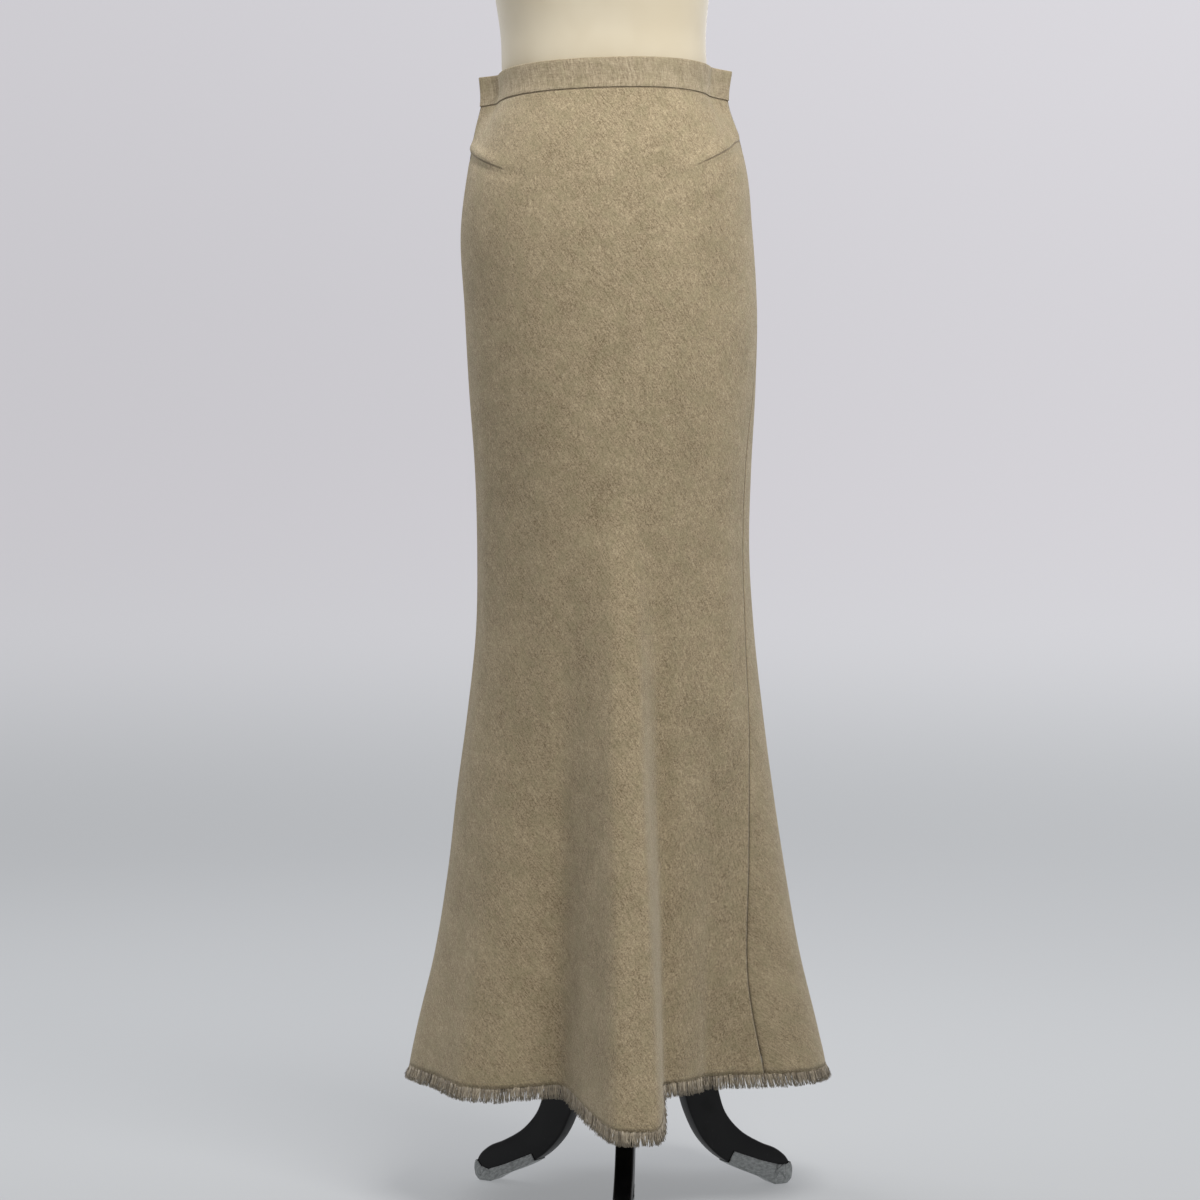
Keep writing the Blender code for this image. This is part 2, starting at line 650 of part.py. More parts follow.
def add_column(name, radius, low, high, sides=24):
    """An upright or leaning round column between two centres."""
    angles = np.linspace(0, 2 * math.pi, sides, endpoint=False)
    ring = np.stack([radius * np.sin(angles), -radius * np.cos(angles), 0 * angles], axis=1)
    points = np.concatenate([ring + low, ring + high])
    faces = [(i, (i + 1) % sides, sides + (i + 1) % sides, sides + i) for i in range(sides)]
    faces += [tuple(reversed(range(sides))), tuple(range(sides, 2 * sides))]
    add_object(name, points, faces, "black_lacquer", smooth_angle=40)


def curve_through(points, steps=3):
    """A smooth run of points through the given ones, read evenly between each pair."""
    known = np.array(points, float)
    pace = np.concatenate([[0.0], np.cumsum(np.linalg.norm(np.diff(known, axis=0), axis=1))])
    table = [(s, *p) for s, p in zip(pace, known)]
    at = np.unique(np.concatenate([np.linspace(a, b, steps + 1) for a, b in zip(pace, pace[1:])]))
    return [tuple(p) for p in smooth(table, at)]


def leg_outline():
    """The leg's outline in its own upright plane: upper edge to the toe, then the underside back."""
    return curve_through(LEG_UPPER, 2) + curve_through(LEG_UNDER, 2)


def grown_outline(outline, by):
    """The outline moved out by `by`, square to both edges at each point; it runs clockwise."""
    flat = np.array(outline)
    edges = np.roll(flat, -1, axis=0) - flat
    edges = edges / np.linalg.norm(edges, axis=1, keepdims=True)
    after = np.stack([-edges[:, 1], edges[:, 0]], axis=1)
    before = np.roll(after, 1, axis=0)
    mitre = (after + before) / (1 + (after * before).sum(axis=1, keepdims=True))
    return [tuple(p) for p in flat + by * mitre]


def tape_outline(border):
    """Side view of a foot's tape: its upper border, then the leg's toe and underside moved out."""
    grown = grown_outline(leg_outline(), GAP + TAPE_WALL)
    inner_end, toe_end = border[0], border[-1]
    below = [p for p in grown if p[0] > inner_end[0] and p[1] < border_height(border, p[0])]
    upper = [p for p in border if p[0] < toe_end[0]]
    toe = max(below, key=lambda p: p[1] if p[0] > TOE_FROM else -1.0)
    start = below.index(toe)
    return upper + below[start:] + below[:start]


def border_height(border, radius):
    """Height of the tape's upper border at this radius."""
    known = np.array(border)
    return float(np.interp(radius, known[:, 0], known[:, 1]))


def add_stand():
    """Hub, post, three shaped boards for legs and the tape round each foot."""
    post = np.array([POST_X, SIDE_PLANE_Y, 0.0])
    add_column("form_hub", HUB_RADIUS, post + (0, 0, HUB_BOTTOM), post + (0, 0, HUB_TOP), 28)
    low, high = HUB_TOP + GAP, FORM_LEVELS[0][0] - BOARD_HEIGHT - 2 * GAP
    ends = [np.array([form_middle(h), SIDE_PLANE_Y, h]) for h in (low, high)]
    add_column("form_post", POST_RADIUS, *ends)
    for side, direction in LEG_DIRECTIONS.items():
        base = add_empty(f"leg_{side}_place", (POST_X, SIDE_PLANE_Y, 0.0))
        base.rotation_euler = (0.0, 0.0, math.radians(direction - 90.0))
        prism(f"leg_{side}", leg_outline(), LEG_THICKNESS, "black_lacquer", base, smooth_angle=35)
        width = LEG_THICKNESS + 2 * (GAP + TAPE_WALL)
        outline = tape_outline(TAPE_BORDERS[side])
        tape = prism(f"foot_tape_{side}", outline, width, "grey_tape", base, smooth_angle=35)
        room = prism(f"foot_room_{side}", grown_outline(leg_outline(), GAP),
                     LEG_THICKNESS + 2 * GAP, "grey_tape", base)
        add_boolean(tape, room, "DIFFERENCE")


RINGS = skirt_rings()
add_panels(RINGS)
add_waistband()
add_fringe(RINGS)
add_zip(RINGS)
add_form()
add_stand()
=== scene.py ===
"""Looks of a bias-cut linen maxi skirt with a frayed hem, on a limbless dress form and its stand.

Metres, +Z up, the skirt's front faces -Y. Angles are in degrees round the skirt's axis: 0 is the
front, 90 is +X and 180 the back. Cloth surfaces carry a UV map in metres (along the cloth, down
the cloth) and a second one, "edge", with the distances to the piece's own edges.
"""

import logging
import math
from dataclasses import dataclass, field
from enum import Enum

import bmesh
import bpy
import numpy as np
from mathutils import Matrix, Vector


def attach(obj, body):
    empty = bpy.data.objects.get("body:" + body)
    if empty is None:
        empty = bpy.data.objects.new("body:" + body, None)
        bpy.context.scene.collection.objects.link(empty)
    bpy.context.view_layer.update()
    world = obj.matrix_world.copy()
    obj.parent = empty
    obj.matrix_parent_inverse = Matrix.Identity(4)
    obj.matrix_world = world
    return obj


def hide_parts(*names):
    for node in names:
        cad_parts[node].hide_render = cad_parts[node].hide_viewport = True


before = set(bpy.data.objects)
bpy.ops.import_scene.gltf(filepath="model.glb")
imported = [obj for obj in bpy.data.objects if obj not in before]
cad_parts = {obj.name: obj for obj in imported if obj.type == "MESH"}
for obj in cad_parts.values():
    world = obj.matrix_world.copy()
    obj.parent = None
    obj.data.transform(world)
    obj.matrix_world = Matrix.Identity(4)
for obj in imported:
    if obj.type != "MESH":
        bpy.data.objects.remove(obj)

LOG = logging.getLogger("maxi_skirt")
BODY = "skirt_and_form"
TAB_BODY = "zip_tab"
Array = np.ndarray


# ---------------------------------------------------------------- shapes by formula


def smooth_table(table: tuple, at: Array) -> Array:
    """Reads a table's columns along a smooth curve.

    Cubic Hermite pieces between rows, with the rows' own finite differences as slopes.

    Args:
        table: rows whose first number is the place along the curve.
        at: places to read, any shape.

    Returns:
        The other columns at those places, in a last axis.
    """
    rows = np.array(sorted(table), float)
    known, values = rows[:, 0], rows[:, 1:]
    slopes = np.gradient(values, known, axis=0)
    at = np.asarray(at, float)
    low = np.clip(np.searchsorted(known, at) - 1, 0, len(known) - 2)
    step = (known[low + 1] - known[low])[..., None]
    t = np.clip((at - known[low])[..., None] / step, 0.0, 1.0)
    ends = values[low] * (2 * t**3 - 3 * t**2 + 1) + values[low + 1] * (3 * t**2 - 2 * t**3)
    pulls = slopes[low] * (t**3 - 2 * t**2 + t) + slopes[low + 1] * (t**3 - t**2)
    return ends + pulls * step


def smoothstep(value: Array, low: float, high: float) -> Array:
    """0 below low, 1 above high, 3t^2 - 2t^3 between."""
    t = np.clip((np.asarray(value, float) - low) / (high - low), 0.0, 1.0)
    return t * t * (3 - 2 * t)


def turn_between(angle: Array, start: float) -> Array:
    """How far angle lies past start, from -180 to 180 degrees."""
    return (np.asarray(angle, float) - start + 180.0) % 360.0 - 180.0


def oval_radius(angle: Array, half: Array, front: Array, back: Array, squareness: Array) -> Array:
    """Radius of a rounded oval, |x / half|^n + |y / depth|^n = 1, with its own depth at the back."""
    turned = np.radians(angle)
    depth = np.where(np.cos(turned) >= 0, front, back)
    across = np.abs(np.sin(turned)) / half
    along = np.abs(np.cos(turned)) / depth
    return (across**squareness + along**squareness) ** (-1.0 / squareness)


def unit(vectors: Array) -> Array:
    """Vectors of length 1 in the last axis."""
    return vectors / np.maximum(np.linalg.norm(vectors, axis=-1, keepdims=True), 1e-12)


def grid_normals(points: Array) -> Array:
    """Outward normals of a grid whose columns run with growing angle and rows run down.

    The cross product of the step down and the step along at each point.
    """
    along = np.gradient(points, axis=1)
    down = np.gradient(points, axis=0)
    return unit(np.cross(down, along))


def running_length(points: Array, axis: int) -> Array:
    """Length along a grid's rows or columns up to each point, starting at 0."""
    steps = np.linalg.norm(np.diff(points, axis=axis), axis=-1)
    total = np.cumsum(steps, axis=axis)
    return np.concatenate([np.zeros_like(np.take(total, [0], axis=axis)), total], axis=axis)


# ---------------------------------------------------------------- meshes


def mesh_object(name: str, points: Array, faces: list, uvs: dict[str, Array] | None = None,
                body: str = BODY, smooth: bool = True) -> bpy.types.Object:
    """Makes one piece at the origin and lets it ride on a body.

    Args:
        name: the piece's name.
        points: its points, (n, 3).
        faces: tuples or an (m, k) array of point numbers.
        uvs: UV maps by name, each (n, 2), read at the points.
        body: the CAD body that it moves with.
        smooth: whether it is shaded smooth.

    Returns:
        The new object.
    """
    mesh = bpy.data.meshes.new(name)
    listed = faces.tolist() if isinstance(faces, np.ndarray) else faces
    mesh.from_pydata(points.reshape(-1, 3).tolist(), [], listed)
    corners = np.empty(len(mesh.loops), np.int32)
    mesh.loops.foreach_get("vertex_index", corners)
    for label, values in (uvs or {}).items():
        layer = mesh.uv_layers.new(name=label)
        layer.data.foreach_set("uv", values.reshape(-1, 2)[corners].astype(np.float32).ravel())
    if smooth:
        mesh.shade_smooth()
    made = bpy.data.objects.new(name, mesh)
    bpy.context.collection.objects.link(made)
    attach(made, body)
    return made


def grid_faces(rows: int, cols: int, closed_along: bool = False, closed_down: bool = False) -> Array:
    """Quads of a grid, facing out when rows run down and columns run with growing angle."""
    down = np.arange(rows if closed_down else rows - 1)
    along = np.arange(cols if closed_along else cols - 1)
    j, i = np.meshgrid(down, along, indexing="ij")
    j_next, i_next = (j + 1) % rows, (i + 1) % cols
    quads = np.stack([j * cols + i, j_next * cols + i, j_next * cols + i_next, j * cols + i_next], -1)
    return quads.reshape(-1, 4)


def add_wall(made: bpy.types.Object, thickness: float) -> None:
    """Gives a one-layer piece its wall, inwards from the modelled face."""
    wall = made.modifiers.new("wall", "SOLIDIFY")
    wall.thickness = thickness
    wall.offset = -1.0
    wall.use_even_offset = False


def rounded_board(name: str, outline: Array, thickness: float, rounding: float, place: Array,
                  direction: float, body: str = BODY) -> bpy.types.Object:
    """A board cut to an outline, with its edges eased to a quarter circle.

    Layers across the thickness: at angle a of the quarter circle the outline moves in by
    rounding * (1 - cos a) while the face moves out by rounding * sin a.

    Args:
        name: the piece's name.
        outline: clockwise (radius, height) points.
        thickness: the board's thickness.
        rounding: radius of the eased edge.
        place: where radius 0, height 0 stands.
        direction: angle that the board points to, in degrees from the front.
        body: the CAD body that it moves with.

    Returns:
        The new object.
    """
    turns = np.radians(np.linspace(90, 0, 5))
    insets = rounding * (1 - np.cos(turns))
    sides = thickness / 2 - rounding + rounding * np.sin(turns)
    layers = [(inset, -side) for inset, side in zip(insets, sides)]
    layers += [(inset, side) for inset, side in zip(insets[::-1], sides[::-1])]
    out = outline_normals(outline)
    rings = np.array([np.column_stack([outline - out * inset, np.full(len(outline), side)])
                      for inset, side in layers])
    points = to_plane(rings.reshape(-1, 3), place, direction)
    count = len(outline)
    faces = grid_faces(len(layers), count, closed_along=True).tolist()
    last = (len(layers) - 1) * count
    faces += [list(range(count)), list(range(last + count - 1, last - 1, -1))]
    made = mesh_object(name, points, faces, body=body)
    turn_outwards(made)
    made.data.set_sharp_from_angle(angle=math.radians(50))
    return made


def outline_normals(outline: Array) -> Array:
    """Outward mitres of a closed clockwise outline: (n1 + n2) / (1 + n1 . n2)."""
    edges = unit(np.roll(outline, -1, axis=0) - outline)
    after = np.stack([-edges[:, 1], edges[:, 0]], axis=1)
    before = np.roll(after, 1, axis=0)
    return (after + before) / (1 + (after * before).sum(axis=1, keepdims=True))


def to_plane(points: Array, place: Array, direction: float) -> Array:
    """(radius, height, side) in an upright plane at this direction, as x, y, z."""
    turned = math.radians(direction)
    outward = np.array([math.sin(turned), -math.cos(turned), 0.0])
    sideways = np.array([math.cos(turned), math.sin(turned), 0.0])
    radius, height, side = points[:, :1], points[:, 1:2], points[:, 2:]
    return place + radius * outward + side * sideways + height * np.array([0.0, 0.0, 1.0])


def turn_outwards(made: bpy.types.Object) -> None:
    """Turns every face of a closed piece outwards, after its doubles are merged."""
    work = bmesh.new()
    work.from_mesh(made.data)
    bmesh.ops.remove_doubles(work, verts=work.verts, dist=1e-7)
    bmesh.ops.recalc_face_normals(work, faces=work.faces)
    work.to_mesh(made.data)
    work.free()


def coat(nodes: tuple[str, ...], finish: bpy.types.Material) -> None:
    """Gives CAD nodes that stay as they are their finish."""
    for node in nodes:
        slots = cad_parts[node].data.materials
        slots.clear()
        slots.append(finish)


# ---------------------------------------------------------------- finishes


class Graph:
    """Short calls that build one material's nodes."""

    def __init__(self, name: str) -> None:
        """Starts a material with a Principled shader."""
        self.material = bpy.data.materials.new(name)
        self.material.use_nodes = True
        self.tree = self.material.node_tree
        self.shader = self.tree.nodes["Principled BSDF"]

    def node(self, kind: str, **settings: object) -> bpy.types.Node:
        """Adds a node and sets its named properties."""
        made = self.tree.nodes.new(kind)
        for key, value in settings.items():
            setattr(made, key, value)
        return made

    def feed(self, source: object, target: bpy.types.NodeSocket) -> None:
        """Links a socket, or sets a plain value."""
        if isinstance(source, bpy.types.NodeSocket):
            self.tree.links.new(source, target)
        else:
            target.default_value = source

    def number(self, operation: str, first: object, second: object = 0.0,
               third: object = 0.0) -> bpy.types.NodeSocket:
        """One Math node."""
        made = self.node("ShaderNodeMath", operation=operation)
        for source, target in zip((first, second, third), made.inputs):
            self.feed(source, target)
        return made.outputs[0]

    def times(self, first: object, second: object) -> bpy.types.NodeSocket:
        """Product of two numbers."""
        return self.number("MULTIPLY", first, second)

    def plus(self, first: object, second: object) -> bpy.types.NodeSocket:
        """Sum of two numbers."""
        return self.number("ADD", first, second)

    def larger(self, first: object, second: object) -> bpy.types.NodeSocket:
        """The larger of two numbers."""
        return self.number("MAXIMUM", first, second)

    def ribs(self, place: object, pitch: float) -> bpy.types.NodeSocket:
        """|sin| of a place: one rounded rib in each pitch."""
        return self.number("ABSOLUTE", self.number("SINE", self.times(place, math.pi / pitch)))

    def spread(self, value: object, low: float, high: float, to_low: float = 0.0,
               to_high: float = 1.0, soft: bool = True) -> bpy.types.NodeSocket:
        """Maps low..high to to_low..to_high, held at the ends."""
        kind = "SMOOTHSTEP" if soft else "LINEAR"
        made = self.node("ShaderNodeMapRange", interpolation_type=kind)
        for source, target in zip((value, low, high, to_low, to_high), made.inputs):
            self.feed(source, target)
        return made.outputs[0]

    def uv(self, label: str) -> bpy.types.NodeSocket:
        """One of the piece's own UV maps."""
        return self.node("ShaderNodeUVMap", uv_map=label).outputs[0]

    def place(self) -> bpy.types.NodeSocket:
        """Object coordinates."""
        return self.node("ShaderNodeTexCoord").outputs["Object"]

    def parts(self, vector: bpy.types.NodeSocket) -> tuple:
        """x, y and z of a vector."""
        made = self.node("ShaderNodeSeparateXYZ")
        self.feed(vector, made.inputs[0])
        return tuple(made.outputs)

    def vector(self, x: object, y: object, z: object = 0.0) -> bpy.types.NodeSocket:
        """A vector from three numbers."""
        made = self.node("ShaderNodeCombineXYZ")
        for source, target in zip((x, y, z), made.inputs):
            self.feed(source, target)
        return made.outputs[0]

    def moved(self, vector: bpy.types.NodeSocket, turn: float = 0.0,
              scale: tuple = (1.0, 1.0, 1.0)) -> bpy.types.NodeSocket:
        """The vector scaled and then turned about Z, in degrees."""
        made = self.node("ShaderNodeMapping")
        self.feed(vector, made.inputs["Vector"])
        made.inputs["Rotation"].default_value = (0.0, 0.0, math.radians(turn))
        made.inputs["Scale"].default_value = scale
        return made.outputs[0]

    def noise(self, vector: bpy.types.NodeSocket, scale: float, detail: float = 2.0,
              rough: float = 0.5) -> bpy.types.NodeSocket:
        """Noise, mostly between 0.25 and 0.75."""
        made = self.node("ShaderNodeTexNoise", noise_dimensions="3D")
        self.feed(vector, made.inputs["Vector"])
        made.inputs["Scale"].default_value = scale
        made.inputs["Detail"].default_value = detail
        made.inputs["Roughness"].default_value = rough
        return made.outputs[0]

    def blend(self, share: object, first: object, second: object) -> bpy.types.NodeSocket:
        """Two colours mixed."""
        made = self.node("ShaderNodeMix", data_type="RGBA", blend_type="MIX")
        self.feed(share, made.inputs[0])
        for source, target in ((first, made.inputs[6]), (second, made.inputs[7])):
            self.feed((*source, 1.0) if isinstance(source, tuple) else source, target)
        return made.outputs[2]

    def bump(self, height: bpy.types.NodeSocket, distance: float, strength: float = 1.0,
             under: bpy.types.NodeSocket | None = None) -> bpy.types.NodeSocket:
        """A Bump node, on top of another one if given."""
        made = self.node("ShaderNodeBump")
        made.inputs["Strength"].default_value = strength
        made.inputs["Distance"].default_value = distance
        self.feed(height, made.inputs["Height"])
        if under is not None:
            self.feed(under, made.inputs["Normal"])
        return made.outputs[0]

    def finish(self, colour: object, roughness: object, normal: bpy.types.NodeSocket | None = None,
               **fixed: object) -> bpy.types.Material:
        """Feeds the shader; the fixed values go on its own sockets, named with _ for a space."""
        colour = (*colour, 1.0) if isinstance(colour, tuple) else colour
        self.feed(colour, self.shader.inputs["Base Color"])
        self.feed(roughness, self.shader.inputs["Roughness"])
        if normal is not None:
            self.feed(normal, self.shader.inputs["Normal"])
        for key, value in fixed.items():
            self.shader.inputs[key.replace("_", " ")].default_value = value
        return self.material


class Grain(Enum):
    """How a piece of cloth lies on the warp: degrees that its warp turns from upright."""

    BIAS = 32.0
    STRAIGHT = 0.0


@dataclass(frozen=True)
class SewnLine:
    """A sewn fold in a panel, from its open end to its point, in the panel's UV metres."""

    start: tuple[float, float]
    point: tuple[float, float]


@dataclass(frozen=True)
class Linen:
    """Heathered slubby linen in plain weave, with puckered seams, painted shade along its seams and darts,
    and a soft bloom of fibre ends.
    """

    name: str
    grain: Grain
    dark: tuple = (0.112, 0.080, 0.040)
    light: tuple = (0.540, 0.443, 0.290)
    olive: tuple = (0.285, 0.250, 0.145)
    pitch: float = 0.00095
    streaks: float = 0.165
    # painted shade: the dark line along each seam, this wide and in this colour, stands for the shade in the
    # seam's groove and under the waistband
    seam_shade_width: float = 0.0007
    seam_shade_colour: tuple = (0.10, 0.072, 0.042)
    slub_colour: tuple = (0.58, 0.50, 0.37)
    # step in the noise from one thread to the next, then shades per metre along a thread
    thread_offset: float = 3.71
    shade_along: float = 165.0
    # streaks per metre across and along the threads
    streak_scale: tuple = (640.0, 30.0)
    darts: tuple = ()

    def threads(self, graph: Graph, flat: bpy.types.NodeSocket, turn: float, seed: float) -> tuple:
        """One thread set: each thread's shade along its length, long streaks, and its round back."""
        across, along, _ = graph.parts(graph.moved(flat, turn))
        count = graph.number("DIVIDE", across, self.pitch)
        thread = graph.times(graph.number("FLOOR", count), self.thread_offset)
        own = graph.vector(thread, graph.times(along, self.shade_along), seed)
        shade = graph.noise(own, 1.0, 2.0, 0.7)
        wide, long = (graph.times(*pair) for pair in zip((across, along), self.streak_scale))
        streak = graph.noise(graph.vector(wide, long, seed + 5), 1.0, 2.0, 0.6)
        wave = graph.number("SINE", graph.times(count, 2 * math.pi))
        return shade, streak, wave

    def make(self) -> bpy.types.Material:
        """Builds the material."""
        graph = Graph(self.name)
        flat = graph.uv("cloth")
        warp = self.threads(graph, flat, self.grain.value, 1.0)
        weft = self.threads(graph, flat, -self.grain.value if self.grain is Grain.BIAS else 90.0, 9.0)
        thread = self.top_thread(graph, warp, weft)
        grain = graph.spread(graph.noise(flat, 640.0, 2.0, 0.75), 0.40, 0.60, soft=False)
        streak = graph.plus(graph.times(warp[1], 0.66), graph.times(weft[1], 0.34))
        streak = graph.spread(streak, 0.35, 0.65, soft=False)
        colour = self.heathered(graph, flat, thread, grain, streak)
        colour = self.slubbed(graph, flat, colour, warp[1], weft[1])
        line, pucker = self.sewn(graph, flat)
        # painted shade: the seam and dart lines darken the colour
        colour = graph.blend(graph.times(line, 0.62), colour, self.seam_shade_colour)
        weave = graph.plus(graph.number("ABSOLUTE", warp[2]), graph.number("ABSOLUTE", weft[2]))
        height = graph.number("MULTIPLY_ADD", weave, 0.12, graph.times(thread, 0.70))
        height = graph.number("MULTIPLY_ADD", grain, 0.22, height)
        normal = graph.bump(height, 0.00040, 0.9)
        normal = graph.bump(graph.number("SUBTRACT", pucker, line), 0.0006, 0.8, normal)
        roughness = graph.spread(streak, 0.0, 1.0, 0.93, 0.80)
        return graph.finish(colour, roughness, normal, Sheen_Weight=0.32, Sheen_Roughness=0.36,
                            Sheen_Tint=(0.95, 0.88, 0.74, 1.0), Specular_IOR_Level=0.22)

    def top_thread(self, graph: Graph, warp: tuple, weft: tuple) -> bpy.types.NodeSocket:
        """Shade of whichever thread lies on top: warp and weft change places with their waves."""
        over = graph.spread(graph.times(warp[2], weft[2]), -0.1, 0.6)
        shade = graph.node("ShaderNodeMix", data_type="FLOAT")
        for source, target in zip((over, warp[0], weft[0]), (0, 2, 3)):
            graph.feed(source, shade.inputs[target])
        return graph.spread(shade.outputs[0], 0.38, 0.62, soft=False)

    def heathered(self, graph: Graph, flat: bpy.types.NodeSocket, thread: object, grain: object,
                  streak: object) -> bpy.types.NodeSocket:
        """Dark and light fibre mixed by thread, fine grain, long streaks and slow mottling."""
        mottle = graph.spread(graph.noise(flat, 21.0, 4.0, 0.6), 0.32, 0.68, soft=False)
        soft = graph.number("MULTIPLY_ADD", streak, self.streaks, graph.times(mottle, 0.16))
        fine = graph.number("MULTIPLY_ADD", thread, 0.42, graph.times(grain, 0.46 - self.streaks))
        colour = graph.blend(graph.plus(soft, fine), self.dark, self.light)
        hue = graph.spread(graph.noise(flat, 60.0, 3.0), 0.42, 0.66)
        return graph.blend(graph.times(hue, 0.35), colour, self.olive)

    def slubbed(self, graph: Graph, flat: bpy.types.NodeSocket, colour: object, warp_streak: object,
                weft_streak: object) -> bpy.types.NodeSocket:
        """Pale slubs along the threads and pale flecks of fibre."""
        speck = graph.spread(graph.noise(flat, 330.0, 1.0), 0.71, 0.77)
        slub = graph.larger(graph.spread(warp_streak, 0.71, 0.78), graph.spread(weft_streak, 0.74, 0.80))
        slub = graph.larger(graph.times(slub, 0.5), graph.times(speck, 0.7))
        return graph.blend(graph.times(slub, 0.55), colour, self.slub_colour)

    def sewn(self, graph: Graph, flat: bpy.types.NodeSocket) -> tuple:
        """The painted shade line of each seam and dart, and the puckers beside the seams."""
        side, end, _ = graph.parts(graph.uv("edge"))
        near = graph.number("MINIMUM", side, end)
        line = graph.spread(near, self.seam_shade_width * 0.3, self.seam_shade_width * 1.4, 0.8, 0.0)
        pucker = graph.times(graph.noise(flat, 150.0, 1.0), graph.spread(near, 0.001, 0.009, 1.0, 0.0))
        for dart in self.darts:
            line = graph.larger(line, self.dart_shade_line(graph, flat, dart))
        return line, pucker

    def dart_shade_line(self, graph: Graph, flat: bpy.types.NodeSocket,
                  dart: SewnLine) -> bpy.types.NodeSocket:
        """Painted shade along a dart's sewn line: 1 on the line, fading to 0 at its sides and towards its
        point.

        Distance to the segment: the UV point turned so that the line lies on the first axis.
        """
        start, point = np.array(dart.start), np.array(dart.point)
        length = float(np.linalg.norm(point - start))
        along = (point - start) / length
        u, w, _ = graph.parts(flat)
        du = graph.number("SUBTRACT", u, float(start[0]))
        dw = graph.number("SUBTRACT", w, float(start[1]))
        reach = graph.plus(graph.times(du, float(along[0])),
                             graph.times(dw, float(along[1])))
        off = graph.number("SUBTRACT", graph.times(dw, float(along[0])),
                           graph.times(du, float(along[1])))
        off = graph.number("ABSOLUTE", off)
        thin = graph.spread(off, 0.0003, 0.0014, 1.0, 0.0)
        fade = graph.times(graph.spread(reach, length * 0.65, length, 1.0, 0.0),
                            graph.spread(reach, -0.004, 0.0, 0.0, 1.0))
        return graph.times(thin, fade)


@dataclass(frozen=True)
class FringeYarn:
    """Loose linen yarn: each yarn has its own shade, lighter where it has opened into fibre."""

    name: str = "fringe_yarn_finish"
    dark: tuple = (0.100, 0.078, 0.050)
    light: tuple = (0.60, 0.52, 0.39)
    opened: tuple = (0.52, 0.46, 0.36)

    def make(self) -> bpy.types.Material:
        """Builds the material; the UV map holds (own shade, place along the yarn)."""
        graph = Graph(self.name)
        shade, along, _ = graph.parts(graph.uv("yarn"))
        colour = graph.blend(graph.spread(shade, 0.0, 1.0, soft=False), self.dark, self.light)
        colour = graph.blend(graph.spread(along, 0.45, 1.0, 0.0, 0.35), colour, self.opened)
        fibre = graph.noise(graph.moved(graph.place(), 0.0, (1.0, 1.0, 0.25)), 5200.0, 2.0)
        colour = graph.blend(graph.times(fibre, 0.5), colour, (0.24, 0.20, 0.14))
        return graph.finish(colour, 0.9, graph.bump(fibre, 0.00012, 0.8), Sheen_Weight=0.25,
                            Sheen_Roughness=0.5, Specular_IOR_Level=0.2)


@dataclass(frozen=True)
class FormJersey:
    """Cream jersey stretched smooth over a padded form: fine knit ribs, faint handling marks."""

    name: str = "form_jersey"

    def make(self) -> bpy.types.Material:
        """Builds the material."""
        graph = Graph(self.name)
        flat = graph.uv("cloth")
        u, w, _ = graph.parts(flat)
        rib, loop = graph.ribs(u, 0.0009), graph.ribs(w, 0.0007)
        soft = graph.noise(flat, 9.0, 3.0)
        fine = graph.noise(flat, 700.0, 2.0)
        colour = graph.blend(graph.spread(soft, 0.3, 0.7), (0.535, 0.47, 0.345), (0.59, 0.53, 0.405))
        colour = graph.blend(graph.times(fine, 0.12), colour, (0.60, 0.52, 0.38))
        height = graph.plus(graph.times(rib, 0.6), graph.times(loop, 0.4))
        normal = graph.bump(graph.plus(height, fine), 0.00012, 0.35)
        return graph.finish(colour, 0.78, normal, Sheen_Weight=0.45, Sheen_Roughness=0.4,
                            Specular_IOR_Level=0.25)


@dataclass(frozen=True)
class BlackPaint:
    """Semi-gloss black paint on wood and metal: orange peel, rubbed edges, a little dust."""

    name: str
    gloss: float
    bare: tuple = (0.0035, 0.0035, 0.0038)
    dusty: tuple = (0.013, 0.0128, 0.012)
    scuffed: tuple = (0.030, 0.029, 0.027)

    def make(self) -> bpy.types.Material:
        """Builds the material."""
        graph = Graph(self.name)
        place = graph.place()
        dust = graph.spread(graph.noise(place, 38.0, 4.0, 0.6), 0.52, 0.78)
        peel = graph.noise(place, 900.0, 2.0)
        drawn = graph.moved(place, 20.0, (1.0, 4.0, 1.0))
        scuff = graph.spread(graph.noise(drawn, 160.0, 3.0), 0.66, 0.74)
        colour = graph.blend(graph.times(dust, 0.35), self.bare, self.dusty)
        colour = graph.blend(graph.times(scuff, 0.4), colour, self.scuffed)
        roughness = graph.spread(dust, 0.0, 1.0, self.gloss, self.gloss + 0.22)
        return graph.finish(colour, roughness, graph.bump(peel, 0.0001, 0.35), Specular_IOR_Level=0.30)


@dataclass(frozen=True)
class SilverTape:
    """Silver-grey cloth tape: scrim threads pressed through the film, creases painted darker in their
    hollows and lighter on their ridges, scuffs to the cloth.
    """

    name: str = "silver_tape"
    scrim: float = 0.0016

    def make(self) -> bpy.types.Material:
        """Builds the material."""
        graph = Graph(self.name)
        flat = graph.uv("cloth")
        u, w, _ = graph.parts(flat)
        scrim = graph.larger(graph.number("SINE", graph.times(u, 2 * math.pi / self.scrim)),
                             graph.number("SINE", graph.times(w, 2 * math.pi / self.scrim)))
        crease = graph.noise(graph.moved(flat, 35.0, (1.0, 2.4, 1.0)), 210.0, 4.0, 0.65)
        worn = graph.spread(graph.noise(flat, 120.0, 3.0), 0.55, 0.72)
        # painted shade and highlight: the creases' relief also sets the colour, darker in the hollows,
        # lighter on the ridges
        colour = graph.blend(graph.spread(crease, 0.35, 0.65), (0.30, 0.315, 0.31), (0.50, 0.52, 0.51))
        colour = graph.blend(graph.times(worn, 0.5), colour, (0.22, 0.22, 0.215))
        normal = graph.bump(crease, 0.0008, 0.6, graph.bump(scrim, 0.00008, 0.6))
        return graph.finish(colour, graph.spread(worn, 0.0, 1.0, 0.38, 0.62), normal, Metallic=0.25,
                            Specular_IOR_Level=0.5)


